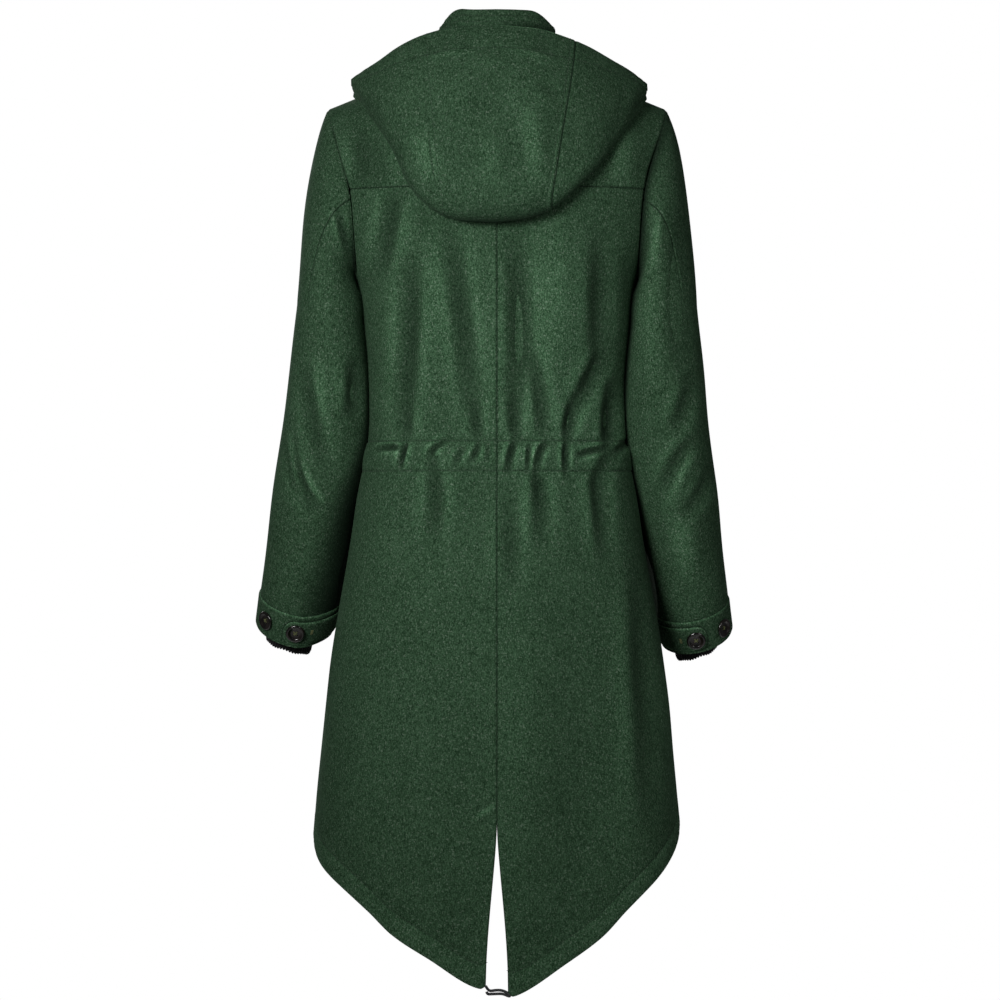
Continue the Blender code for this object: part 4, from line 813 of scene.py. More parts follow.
def closed_wall(name, outer, inner, dark=None, tube=False):
    """A closed sheet between two grids of points, faces outwards. A tube's last column is its first again."""
    rows, columns = outer.shape[:2]
    count = rows * columns
    front, back = grid_faces(rows, columns), grid_faces(rows, columns, count)[:, ::-1]
    index = np.arange(count).reshape(rows, columns)
    rims = [index[0, ::-1], index[-1]] + ([] if tube else [index[:, 0], index[::-1, -1]])
    sides = [np.stack((rim[:-1], rim[:-1] + count, rim[1:] + count, rim[1:]), axis=-1) for rim in rims]
    faces = np.concatenate((front, back, *sides))
    if tube:
        whole = np.arange(2 * count).reshape(2 * rows, columns)
        whole[:, -1] = whole[:, 0]
        faces = whole.reshape(-1)[faces]
    place = np.concatenate((outer.reshape(-1, 3), inner.reshape(-1, 3)))
    a, b, c, d = (place[faces[:, k]] for k in range(4))
    if (a * np.cross(b, c)).sum() + (a * np.cross(c, d)).sum() < 0:
        faces = faces[:, ::-1]
    used, faces = np.unique(faces, return_inverse=True)
    mesh = bpy.data.meshes.new(name)
    mesh.from_pydata(place[used].tolist(), [], faces.reshape(-1, 4).tolist())
    # the outer face carries the painted shade, and painted light where it is negative; the inner face none
    shade = np.zeros(2 * count) if dark is None else np.concatenate((dark.reshape(-1), 0 * dark.reshape(-1)))
    mesh.attributes.new("shade", "FLOAT", "POINT").data.foreach_set("value", shade[used].astype(np.float32))
    mesh.shade_smooth()
    mesh.set_sharp_from_angle(angle=CLOTH_CORNER)
    return mesh


def keep(name, data, material, nodes=()):
    """Adds a finished piece to the scene, in the frame."""
    made = bpy.data.objects.new(name, data)
    bpy.context.scene.collection.objects.link(made)
    data.materials.clear()
    data.materials.append(material)
    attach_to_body(made, "root")
    if nodes:
        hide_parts(*nodes)
    return made


def declare_cut(place):
    """Measures a panel's widest row and its longest column, and does nothing more with them."""
    across = lengths(place)[:, -1].max()
    along = lengths(place.swapaxes(0, 1))[:, -1].max()


def cloth_piece(node, panel, height, dark, thickness=WALL, side=1, tube=False):
    """A panel of wool that stands for a node of the part. Returns its outer points and normals as placed."""
    outer = mirrored(panel.place + panel.normals * height[..., None], side)
    normals = mirrored(panel.normals, side)
    inner = mirrored(panel.place, side) - normals * thickness
    inner = inner + normals * np.minimum(height, 0)[..., None] * FOLD_INSIDE
    name = f"cloth_{node}"
    made = keep(name, closed_wall(name, outer, inner, dark, tube), WOOL, (node,))
    declare_cut(mirrored(panel.place, side))
    return outer, normals


RUNS = []  # rows of stitching, each as its points and the cloth's normals there


def stitch(outer, normals, edge, distance, steps):
    """Notes a row of stitching along the grid's line at this distance from an edge."""
    at = int(np.argmin(np.abs(np.asarray(steps) - distance)))
    line = {"first_row": np.s_[at], "last_row": np.s_[-1 - at],
            "first_column": np.s_[:, at], "last_column": np.s_[:, -1 - at]}[edge]
    RUNS.append((outer[line], normals[line]))


def back_panel(side):
    above, inside = 90, 16  # rows of points above the casing and in it
    share = np.linspace(0, 1, 121) ** 1.4
    level = np.concatenate((np.linspace(YOKE_Z, CASING_TOP, above),
                            np.linspace(CASING_TOP, CASING_FOOT, inside)[1:],
                            np.linspace(CASING_FOOT, STRAIGHT_Z, above)[1:]))
    down = np.linspace(0, 1, 61)[1:, None]
    hem = hem_z(share * math.pi / 2, side)
    from_vent = share * math.pi / 2 * RINGS[-1].back
    hem = hem + TAIL_CORNER[0] * fade(from_vent / TAIL_CORNER[1]) ** 1.5
    lower = STRAIGHT_Z + (hem[None, :] - STRAIGHT_Z) * down
    z = np.vstack((np.repeat(level[:, None], len(share), axis=1), lower))
    swing = VENT_SPREAD * smooth((VENT_Z - z) / (VENT_Z - TAIL_Z)) ** 0.75
    turn = swing + share[None, :] * (body_edge(z, True) - swing)
    turn, z = relaid(turn, z, body, RIM, RIM, 0.0021)
    top, foot = above - 1, above + inside - 2
    hem_steps = marks(HEM_LINE)
    zones = ((slice(0, top + 1), RIM, ON_STITCHING, 0.0032),
             (slice(top, foot + 1), ON_STITCHING, ON_STITCHING, 0.0017),
             (slice(foot, None), ON_STITCHING, hem_steps, 0.0040))
    parts, casing_rows, total = [], [], 0
    for rows, first, last, grain in zones:
        u, v = relaid(turn[rows].T, z[rows].T, body, first, last, grain)
        parts.append((u.T[min(total, 1):], v.T[min(total, 1):]))
        total += len(parts[-1][0])
        casing_rows.append(total - 1)
    turn, z = (np.vstack([part[k] for part in parts]) for k in (0, 1))
    panel = panel_of(body, turn, z, from_middle)
    x, z = side * panel.place[..., 0], panel.place[..., 2]
    by_side, by_hem = panel.away["last_column"], panel.away["last_row"]
    # the folds, with their painted shade and painted light
    folds, in_folds = pressed(BACK_FOLDS + WAIST_FOLDS, x, z)
    press = casing_roll(z) - folds + uneven(x, z)
    press *= smooth(by_side / 0.035) * smooth(panel.away["first_row"] / 0.02)
    lines = (("last_row", HEM_LINE),)
    # painted shade along the yoke, centre back and armhole seams, and in the hem's stitching
    dark = shade_at(panel, {"first_row": YOKE_SEAM_SHADE, "first_column": MIDDLE_SEAM_SHADE,
                            "last_column": by_armhole(z, side)}, lines)
    # painted shade on the back beside a cuff
    dark = np.maximum(dark, SIDE_SHADE * within(z, BY_CUFF) * fade(by_side / CUFF_SIDE_WIDTH[side]))
    # each row of the casing's stitching is a groove with painted shade in it
    for level in (CASING_TOP, CASING_FOOT):
        press -= GROOVE * bell((z - level) / GROOVE_WIDTH) * puckers(x)
        dark = np.maximum(dark, in_groove(z - level))
    # the hem's strip is made lighter in colour below its stitching
    dark = with_folds(dark, in_folds) - HEM_LIGHT * fade((by_hem - HEM_LINE) / 0.002)
    # painted light in the left armhole's crease
    dark -= armhole_light(by_side, z, side)
    height = press + edged(panel, ALL_EDGES, lines)
    outer, normals = cloth_piece(f"back_{HAND[side]}", panel, height, dark, side=side)
    stitch(outer, normals, "last_row", HEM_LINE, hem_steps)
    for row in casing_rows[:2]:
        RUNS.append((outer[row], normals[row]))


def front_panel(side):
    share = np.linspace(0, 1, 91)
    down = np.linspace(0, 1, 200)[:, None]
    hem = hem_z(math.pi - share * math.pi / 2, side)[None, :]
    z = hem + (YOKE_Z - hem) * down
    turn = math.pi - share[None, :] * (math.pi - body_edge(z, False))
    u, v = laid(turn, z, body, (RIM, RIM), (marks(HEM_LINE), BARE), (0.0042, 0.0050))
    low = panel_of(body, u, v, from_middle)

    def chest(u, v):
        return over_shoulder(u, v, False)

    u, v = np.meshgrid(share, np.linspace(0, 1, 60))
    u, v = laid(u, v, chest, (RIM, RIM), (BARE, RIM), (0.0042, 0.0045))
    count = low.place.shape[1]
    if u.shape[1] != count:
        even = np.linspace(0, 1, u.shape[1])
        u, v = (np.array([np.interp(np.linspace(0, 1, count), even, row) for row in part]) for part in (u, v))
    high = panel_of(chest, u, v, lambda place: points(0 * place[..., 0], -1.0, 1.0))
    place = np.vstack((low.place, high.place[1:]))
    panel = Panel(place, np.vstack((low.normals, high.normals[1:])), away_from_edges(place))
    lines = (("first_row", HEM_LINE),)
    x, z = side * place[..., 0], place[..., 2]
    by_side = panel.away["last_column"]
    press = (casing_roll(z) + uneven(x + 0.3, z)) * smooth(by_side / 0.02)
    press *= smooth(panel.away["last_row"] / 0.02)
    # painted shade on the fronts behind the sleeves, and along the shoulder seam and in the hem's stitching
    behind = SIDE_SHADE * within(z, BEHIND_SLEEVE) * fade(by_side / SIDE_WIDTH)
    dark = np.maximum(shade_at(panel, {"last_row": UPPER_SEAM_SHADE}, lines), behind)
    height = press + edged(panel, ALL_EDGES, lines)
    outer, normals = cloth_piece(f"front_{HAND[side]}", panel, height, dark, side=side)
    stitch(outer, normals, "first_row", HEM_LINE, marks(HEM_LINE))


def back_yoke():
    u, v = np.meshgrid(np.linspace(-1, 1, 181), np.linspace(0, 1, 60))
    u, v = laid(u, v, yoke_at, (RIM, RIM), (RIM, RIM), (0.0036, 0.0036))
    panel = panel_of(yoke_at, u, v, lambda place: points(0 * place[..., 0], 1.0, 1.0))
    # painted shade along the yoke's seams, and its folds' painted shade and light
    dark = shade_at(panel, {"first_row": YOKE_SEAM_SHADE, "last_row": UPPER_SEAM_SHADE,
                            "first_column": ARMHOLE_SHADE[-1], "last_column": ARMHOLE_SHADE[1]})
    folds, in_folds = pressed(YOKE_FOLDS, panel.place[..., 0], panel.place[..., 2])
    folds *= smooth(panel.away["first_row"] / 0.02)
    cloth_piece("yoke_back", panel, edged(panel, ALL_EDGES) - folds, with_folds(dark, in_folds))


def front_fly():
    """The strip over the closed front, from the hem to just under the neckline."""
    across = np.linspace(-1, 1, 25)[None, :]
    z = np.linspace(hem_z(math.pi, 1) + 0.0005, YOKE_Z, 150)[:, None]
    turn = math.pi + across * FLY_WIDTH / 2 / ring_radius(np.array(math.pi), z)
    low = body(turn, z)
    low_normals = facing(body, turn, z + 0 * turn)
    v = np.linspace(0, 0.86, 30)[1:]
    reach = np.linspace(0, NECK_SHARE, 60)
    rows = [over_shoulder(reach, np.full_like(reach, at), False)[:, 0] for at in v]
    half = np.array([np.interp(FLY_WIDTH / 2, row, reach) for row in rows])[:, None]

    def chest(u, v):
        return mirrored(over_shoulder(np.abs(u), v, False), np.where(u < 0, -1.0, 1.0))

    u = -across * half
    high, high_normals = chest(u, v[:, None] + 0 * u), facing(chest, u, v[:, None] + 0 * u)
    place, normals = np.vstack((low, high)), np.vstack((low_normals, high_normals))
    outward = points(0 * place[..., 0], -1.0, np.where(place[..., 2] > YOKE_Z, 0.5, 0.0))
    normals = normals * np.sign((normals * outward).sum(axis=-1, keepdims=True))
    panel = Panel(place + normals * (SEAM + STRIP), normals, away_from_edges(place))
    cloth_piece("front_placket", panel, edged(panel, ALL_EDGES), None, STRIP)


def above_rim(place):
    """The painted shadow of the hood's rim on the collar just above it, darker towards the right."""
    x, right = place[..., 0], smooth((0.02 - place[..., 0]) / 0.07)
    ends = HOOD[-1][2::-1] + HOOD[1][1:3]
    sides = (-1, -1, -1, 1, 1)
    rim = through([side * row.rim_x for side, row in zip(sides, ends)], [row.rim_z for row in ends], x)
    reach = 0.003 + 0.008 * right
    near = fade((place[..., 2] - rim - RIM_OFF) / reach)
    return RIM_SHADE * (0.25 + 0.75 * right) * near * smooth(place[..., 1] / 0.03)


def stand_collar():
    turn, up = np.meshgrid(np.linspace(-math.pi + 0.004, math.pi - 0.004, 220), np.linspace(0.008, 1, 30))
    lines = [("last_row", line) for line in COLLAR_LINES]
    steps = marks(*COLLAR_LINES)
    turn, up = laid(turn, up, collar_at, (RIM, RIM), (RIM, steps), (0.0040, 0.0032))
    panel = panel_of(collar_at, turn, up, from_middle)
    # painted shade in the stitching, and the painted shadow of the hood's rim
    dark = np.maximum(shade_at(panel, lines=lines), above_rim(panel.place))
    height = edged(panel, ("last_row", "first_column", "last_column"), lines)
    outer, normals = cloth_piece("collar", panel, height, dark)
    for edge, line in lines:
        stitch(outer, normals, edge, line, steps)


def sleeve_panel(which, side):
    down = np.linspace(0, 2, 240)[:, None]
    rear, fore = seam_turns(down, True), seam_turns(down, False)
    first, last = (fore - 2 * math.pi, rear) if which == "upper" else (rear, fore)
    turn = first + (last - first) * np.linspace(0, 1, 90)[None, :]

    def surface(u, v):
        return sleeve(u, v, side)

    turn, down = laid(turn, down + 0 * turn, surface, (RIM, RIM), (RIM, marks(BAND_HEIGHT)), (0.0036, 0.0036))
    middle = arm_frame(np.clip(ARM_TOP - HANG * (down - 1), ARM_END, ARM_TOP), side)[0]
    panel = panel_of(surface, turn, down, lambda place: place - middle)
    x, z = side * panel.place[..., 0], panel.place[..., 2]
    to_back, from_armhole = smooth(panel.normals[..., 1] * 2), panel.away["first_row"]
    folds, in_folds = (part * to_back for part in pressed(SLEEVE_FOLDS[side], x, z))
    press = (uneven(x, z + 0.2) - folds) * smooth(off_body(panel.place) / 0.02)
    press *= smooth(from_armhole / 0.02) * smooth(panel.away["last_row"] / 0.05)
    fading = fade((from_armhole - SLEEVE_SEAM_FADES[0]) / SLEEVE_SEAM_FADES[1])
    seams = ("first_column", "last_column")
    above_band = (2 - down) * HANG / END_SLANT - BAND_HEIGHT
    # painted shade along the armhole and the fading seams, in the slit beside the body, and the band's
    # painted shadow
    dark = np.max([shade_at(panel, {"first_row": by_armhole(z, side)}),
                   in_slit(panel.place, side),
                   shade_at(panel, dict.fromkeys(seams, SLEEVE_SEAM_SHADE)) * fading,
                   0.5 * LAP_SHADE * bell(above_band / LAP_WIDTH)], axis=0)
    height = press + edged(panel, ("first_row",)) + edged(panel, seams) * fading
    # the folds' painted shade and light, and painted light in the armhole's crease
    dark = with_folds(dark, in_folds) - armhole_light(from_armhole, z, side)
    cloth_piece(f"sleeve_{which}_{HAND[side]}", panel, height, dark, side=side)


def cuff_at(turn, height, side, off):
    """Places and normals on the sleeve's end, moved out by off."""
    def surface(u, v):
        return sleeve(u, up_from_end(v), side)

    place, normals = surface(turn, height), facing(surface, turn, height)
    middle = arm_frame(np.clip(place[..., 2], ARM_END, ARM_TOP), side)[0]
    normals = normals * np.sign((normals * (place - middle)).sum(axis=-1, keepdims=True))
    return place + normals * np.asarray(off)[..., None], normals


def off_tab(turn, height):
    """How far a place on the cuff lies outside the tab's outline, negative under the tab."""
    to_tip = (TAB_ROUND - (turn - TAB_TO) * WRIST_RADIUS) * TAB_HALF / TAB_ROUND
    apart = np.hypot(np.maximum(to_tip, 0.0), height - TAB_MIDDLE) - TAB_HALF
    return np.where(turn > TAB_FROM, 1.0, apart)


def cuff_band(side):
    turn = np.linspace(0, 2 * math.pi, 289)[None, :]
    height = np.concatenate((RIM, np.linspace(RIM[-1], BAND_HEIGHT - RIM[-1], 36)[1:-1],
                             (BAND_HEIGHT - RIM)[::-1]))[:, None]
    turn, height = np.broadcast_arrays(turn, height)
    place, normals = cuff_at(turn, height, side, np.full(turn.shape, SEAM + STRIP))
    panel = Panel(place, normals, away_from_edges(place))
    # painted shadow beside the tab's edge, and a painted highlight along the band's top edge
    tab_shadow = LAP_SHADE * bell(np.maximum(off_tab(turn, height), 0.0) / LAP_WIDTH)
    dark = tab_shadow + light_rim(panel, "last_row")
    edges = edged(panel, ("first_row", "last_row"))
    cloth_piece(f"cuff_band_{HAND[side]}", panel, edges, dark, STRIP, side, tube=True)


def cuff_tab(side):
    """The strap over the band, from the sleeve's front seam to its rounded end behind the wrist."""
    tip = TAB_ROUND / WRIST_RADIUS
    turn = np.concatenate((TAB_TO + tip * np.linspace(0, 1, 22) ** 1.8,
                           np.linspace(TAB_TO + tip, TAB_FROM, 60)[1:]))
    to_end = np.minimum((turn - TAB_TO) / tip, 1.0)
    half = np.sqrt(np.maximum(1 - (1 - to_end) ** 2, 0.02)) * TAB_HALF
    near_rim = 1 - RIM / TAB_LAID
    across = np.concatenate((-near_rim, np.linspace(-TAB_PLAIN, TAB_PLAIN, 14)[1:-1], near_rim[::-1]))
    height = TAB_MIDDLE + half[None, :] * across[:, None]
    turn = np.broadcast_to(turn, height.shape)
    place, normals = cuff_at(turn, height, side, np.full(turn.shape, 2 * (SEAM + STRIP)))
    panel = Panel(place, normals, away_from_edges(place))
    seams = ("first_row", "last_row", "first_column")
    # painted highlights along the tab's turned edges
    cloth_piece(f"cuff_tab_{HAND[side]}", panel, edged(panel, seams), light_rim(panel, *seams), STRIP, side)


def tube(line, radius, sides=8):
    """Rings of points along a line."""
    ahead = unit(np.gradient(line, axis=0))
    aside = unit(np.cross(ahead, np.array((0.31, 0.17, 0.93))))
    above = np.cross(ahead, aside)
    turn = np.linspace(0, 2 * math.pi, sides + 1)
    return (line[:, None] + aside[:, None] * np.cos(turn)[None, :, None] * radius
            + above[:, None] * np.sin(turn)[None, :, None] * radius)


def turned(name, profile, steps=56):
    """A mesh turned about Z from a profile that starts and ends on the axis."""
    turn = np.linspace(0, 2 * math.pi, steps, endpoint=False)
    place, faces = [(0, 0, profile[0][1])], []
    for r, h in profile[1:-1]:
        place += [(r * math.cos(a), r * math.sin(a), h) for a in turn]
    place.append((0, 0, profile[-1][1]))
    rings = len(profile) - 2
    for k in range(steps):
        after = (k + 1) % steps
        faces.append((0, 1 + after, 1 + k)[::-1])
        for ring in range(rings - 1):
            low = 1 + ring * steps
            faces.append((low + k, low + steps + k, low + steps + after, low + after))
        low = 1 + (rings - 1) * steps
        faces.append((low + k, len(place) - 1, low + after))
    mesh = bpy.data.meshes.new(name)
    mesh.from_pydata(place, [], faces)
    return mesh


BUTTON = ((0.0, 0.44), (0.22, 0.44), (0.45, 0.50), (0.58, 0.60), (0.66, 0.78), (0.73, 0.94), (0.81, 1.0),
          (0.90, 0.95), (0.97, 0.80), (1.0, 0.58), (0.98, 0.34), (0.90, 0.10), (0.80, 0.0), (0.0, 0.0))
HOLE_AT, HOLE_RADIUS = 0.0021, 0.00095
HOLES = [(sx * HOLE_AT, sy * HOLE_AT) for sx in (1, -1) for sy in (1, -1)]


def holed_button(node):
    """The mesh of a four-hole button with a raised rim and a dished middle, turned about Z."""
    body_mesh = turned(node, [(r * BUTTON_RADIUS, h * BUTTON_HEIGHT) for r, h in BUTTON])
    blank = bpy.data.objects.new(f"blank_{node}", body_mesh)
    drill_mesh = bpy.data.meshes.new("drill")
    place, faces = [], []
    ring = np.linspace(0, 2 * math.pi, 14, endpoint=False)
    count = len(ring)
    for x, y in HOLES:
        start = len(place)
        for h in (-0.001, 0.006):
            place += [(x + HOLE_RADIUS * math.cos(a), y + HOLE_RADIUS * math.sin(a), h) for a in ring]
        faces.append(tuple(start + k for k in range(count))[::-1])
        faces.append(tuple(start + count + k for k in range(count)))
        faces += [(start + k, start + (k + 1) % count, start + count + (k + 1) % count, start + count + k)
                  for k in range(count)]
    drill_mesh.from_pydata(place, [], faces)
    drill = bpy.data.objects.new("drill", drill_mesh)
    for tool in (blank, drill):
        bpy.context.scene.collection.objects.link(tool)
    cut = blank.modifiers.new("holes", "BOOLEAN")
    cut.operation, cut.solver, cut.object = "DIFFERENCE", "EXACT", drill
    bpy.context.view_layer.update()
    mesh = bpy.data.meshes.new_from_object(blank.evaluated_get(bpy.context.evaluated_depsgraph_get()))
    mesh.name = node
    bpy.data.objects.remove(blank)
    bpy.data.objects.remove(drill)
    return mesh


def button(kind, turn, side, off):
    """A button on the cuff, and the thread that holds it."""
    node = f"button_{kind}_{HAND[side]}"
    mesh = holed_button(node)
    turn, height = np.array(math.radians(turn)), np.array(TAB_MIDDLE + BUTTON_RAISE[side])
    seat, up = cuff_at(turn, height, side, np.array(off + BUTTON_SEAT))
    seat, up = mirrored(seat, side), mirrored(up, side)
    x = unit(np.cross(np.array((0.0, 0.0, 1.0)), up))
    y = np.cross(up, x)
    to_cuff = Matrix([[x[i], y[i], up[i], seat[i]] for i in range(3)] + [[0, 0, 0, 1]])
    mesh.transform(to_cuff)
    mesh.shade_smooth()
    mesh.set_sharp_from_angle(angle=HORN_CORNER)
    keep(f"horn_{node}", mesh, HORN, (node,))
    t = np.linspace(0, 1, 9)
    height = BUTTON_HEIGHT * 0.30 + THREAD_RISE * np.sin(math.pi * t) ** 0.6
    strands = []
    for (x0, y0), (x1, y1) in ((HOLES[0], HOLES[3]), (HOLES[1], HOLES[2])):
        slant = np.sign(x1 - x0) * np.sign(y1 - y0)
        for shift in (-THREADS_APART, THREADS_APART):
            line = points(x0 + (x1 - x0) * t + shift, y0 + (y1 - y0) * t - shift * slant, height)
            strands.append(tube(line, BUTTON_THREAD, 6))
    name = f"thread_{kind}_{HAND[side]}"
    thread = joined_tubes(name, strands)
    thread.transform(to_cuff)
    keep(name, thread, OLIVE)


def bar_tack(side):
    """The sewn end of a tab's buttonhole, past the button: a few strands side by side."""
    height = TAB_MIDDLE + BUTTON_RAISE[side] + np.linspace(-0.5, 0.5, 7) * TACK_LENGTH
    strands = []
    for k in range(TACK_STRANDS):
        turn = math.radians(TACK_TURN) + (k - (TACK_STRANDS - 1) / 2) * TACK_PITCH / WRIST_RADIUS
        line, _ = cuff_at(np.full(7, turn), height, side, np.full(7, 2 * (SEAM + STRIP)))
        strands.append(tube(mirrored(line, side), TACK_THREAD, 6))
    name = f"bar_tack_{HAND[side]}"
    keep(name, joined_tubes(name, strands), OLIVE)


def joined_tubes(name, strands):
    """Several capped tubes in one mesh."""
    place, faces = [], []
    for rings in strands:
        start, (rows, columns) = len(place), rings.shape[:2]
        place += rings[:, :-1].reshape(-1, 3).tolist()
        sides = columns - 1
        for i in range(rows - 1):
            for k in range(sides):
                low, high = start + i * sides, start + (i + 1) * sides
                faces.append((low + k, low + (k + 1) % sides, high + (k + 1) % sides, high + k))
        faces.append(tuple(start + k for k in range(sides))[::-1])
        faces.append(tuple(start + (rows - 1) * sides + k for k in range(sides)))
    mesh = bpy.data.meshes.new(name)
    mesh.from_pydata(place, [], faces)
    mesh.shade_smooth()
    return mesh


def rib_cuff(side):
    """The ribbed tube sewn inside the sleeve's end."""
    top, sewn_in, foot = (row.below for row in RIB)
    turn = np.linspace(0, 2 * math.pi, RIBS * RIB_STEPS + 1)
    middle, out, rear, down, wide, deep = arm_frame(np.array(ARM_END + ARM_STEP), side)
    below = np.concatenate((np.linspace(top, sewn_in, 10), np.linspace(sewn_in, foot, 14)[1:]))
    share = column(RIB, "share", below)
    wave = np.abs(np.cos(turn * RIBS / 2)) ** 0.7
    ribbed = smooth((below - top) / 0.015)
    last = smooth((foot - below) / 0.0022) * 0.7 + 0.3

    def ring(extra):
        grid = np.empty((len(below), len(turn), 3))
        for i, (depth, part) in enumerate(zip(below, share)):
            grow = (extra[i] if extra.ndim > 1 else extra) - (WALL + SEAM) * smooth((part - 0.9) * 10)
            aside = out * KNIT_ASIDE[side] * smooth((depth - top) / 0.022)
            outwards = out * ((wide * part + grow) * np.cos(turn))[:, None]
            backwards = rear * ((deep * part + grow) * np.sin(turn))[:, None]
            grid[i] = middle + aside + down * (depth + ARM_STEP) + outwards + backwards
        return grid

    tilt = KNIT_TILT * (1 - np.cos(turn)) - KNIT_DIP * np.sin(turn) ** 2
    uneven_end = tilt + KNIT_UNEVEN * np.sin(turn * 7 + 1.3) + RIB_END * wave
    sag = smooth((below - sewn_in) / (foot - sewn_in))[:, None] * uneven_end - KNIT_UP
    outer = ring(RIB_HEIGHT * wave[None, :] * (ribbed * last)[:, None]) + down * sag[..., None]
    inner = ring(np.full(len(turn), -KNIT_WALL)) + down * sag[..., None]
    outer[:, -1], inner[:, -1] = outer[:, 0], inner[:, 0]
    # painted shade in the valleys between the ribs
    dark = np.broadcast_to(1 - wave, outer.shape[:2])
    name = f"knit_cuff_{HAND[side]}"
    mesh = closed_wall(name, mirrored(outer, side), mirrored(inner, side), dark, tube=True)
    made = keep(name, mesh, KNIT, (f"rib_cuff_{HAND[side]}",))
    declare_cut(mirrored(ring(np.zeros(len(turn))), side))


def skin_samples():
    """Points and normals all over the yoke, the upper back and the upper fronts, both halves."""
    u, v = np.meshgrid(np.linspace(0, 1, 41), np.linspace(0, 1, 31))
    places, normals = [], []
    for back in (True, False):
        places.append(over_shoulder(u, v, back))
        found = facing(lambda a, b: over_shoulder(a, b, back), u, v)
        normals.append(found * np.sign(found[..., 2:3] + found[..., 1:2] * (1 if back else -1)))
    z = np.linspace(YOKE_Z, -0.26, 24)[:, None]
    turn = np.linspace(0, 1, 41)[None, :] * body_edge(z, True)
    places.append(body(turn, z))
    normals.append(-facing(body, turn, z + 0 * turn))
    place, normal = (np.concatenate([part.reshape(-1, 3) for part in parts]) for parts in (places, normals))
    return np.vstack((place, mirrored(place, -1))), np.vstack((normal, mirrored(normal, -1)))


def lifted(place, samples, off):
    """Moves each point that is nearer to the sampled surface than off, or under it, out along its normal."""
    skin, normals = samples
    nearest = np.argmin(((place[:, None, :] - skin[None]) ** 2).sum(axis=-1), axis=1)
    height = ((place - skin[nearest]) * normals[nearest]).sum(axis=-1)
    return place + normals[nearest] * np.maximum(off - height, 0.0)[:, None]


def back_depth(x, z, samples):
    skin = samples[0][samples[1][:, 1] > 0.05]
    return skin[np.argmin((skin[:, 0] - x) ** 2 + (skin[:, 2] - z) ** 2), 1]


def hood_line(at, samples):
    """One line of the hood from its rim down to the fold and up its hidden side to the neckline, in knots."""
    side, share = (1 if at >= 0 else -1), abs(at)
    sizes = [float(column(HOOD[side], name, share)) for name in Station._fields[1:]]
    rim_x, rim_y, rim_z, low_x, low_z, turn = sizes
    rim = np.array((side * rim_x, rim_y, rim_z))
    inner_y = back_depth(side * low_x, low_z + turn, samples) + HOOD_OFF
    bends = np.radians((0, 60, 120, 180))
    fold_y, fold_z = inner_y + turn * (1 + np.cos(bends)), low_z + turn * (1 - np.sin(bends))
    fold = list(points(side * low_x, fold_y, fold_z))
    aside = side * (HOOD_BULGE * share + HOOD_END_BULGE * share**6)
    puff = np.array((aside, 1.0, 0.0)) * HOOD_PUFF * (1 - 0.8 * share**2)
    front = [rim + (fold[0] - rim) * t + puff * math.sin(math.pi * t**0.8)
             for t in (0, 0.15, 0.3, 0.45, 0.6, 0.75, 0.9)]
    neck_turn = at * HOOD_FRONT_TURN
    outward = unit(points(math.sin(neck_turn), math.cos(neck_turn), 0.0))
    end = neck(np.array(neck_turn)) + outward * HOOD_SEAT_OUT + np.array((0, 0, HOOD_SEAT_UP))
    hidden = [fold[-1] + (end - fold[-1]) * t for t in (0.12, 0.3, 0.5, 0.7, 0.87)]
    line = np.array(front + fold + hidden + [end])
    line[3:-1] = lifted(line[3:-1], samples, HOOD_OFF)
    return line


def hood_knots():
    samples = skin_samples()
    sides = np.linspace(HOOD_SEAM_AT, 1, HOOD_SIDE_KNOTS)
    stations = np.concatenate((-sides[::-1], np.linspace(-HOOD_SEAM_AT, HOOD_SEAM_AT, 11)[1:-1], sides))
    place = np.stack([hood_line(at, samples) for at in stations], axis=1)
    hidden = place[HOOD_HIDDEN:-1]
    for _ in range(3):  # evens out the hidden side, which follows the yoke
        hidden[:, 1:-1] = (hidden[:, :-2] + 2 * hidden[:, 1:-1] + hidden[:, 2:]) / 4
        hidden[:] = lifted(hidden.reshape(-1, 3), samples, HOOD_OFF).reshape(hidden.shape)
    return place


def under_hood(panel):
    """Painted shade on the hood where it turns under: on its low roll, and on the right where it faces aside.
    """
    x, z, to_back = panel.place[..., 0], panel.place[..., 2], panel.normals[..., 1]
    out_left, out_right = smooth((x - 0.02) / 0.05), smooth((-x - 0.045) / 0.03)
    low_roll = fade((z - z.min(axis=0)) / HOOD_ROLL) * smooth(to_back * 3) * (1 - out_right)
    under = np.maximum(smooth(-panel.normals[..., 2] * 1.2), 0.75 * low_roll)
    under = under + (fade(to_back / 0.30) - under) * out_right
    return UNDER_SHADE * under * (1 - 0.7 * out_left)


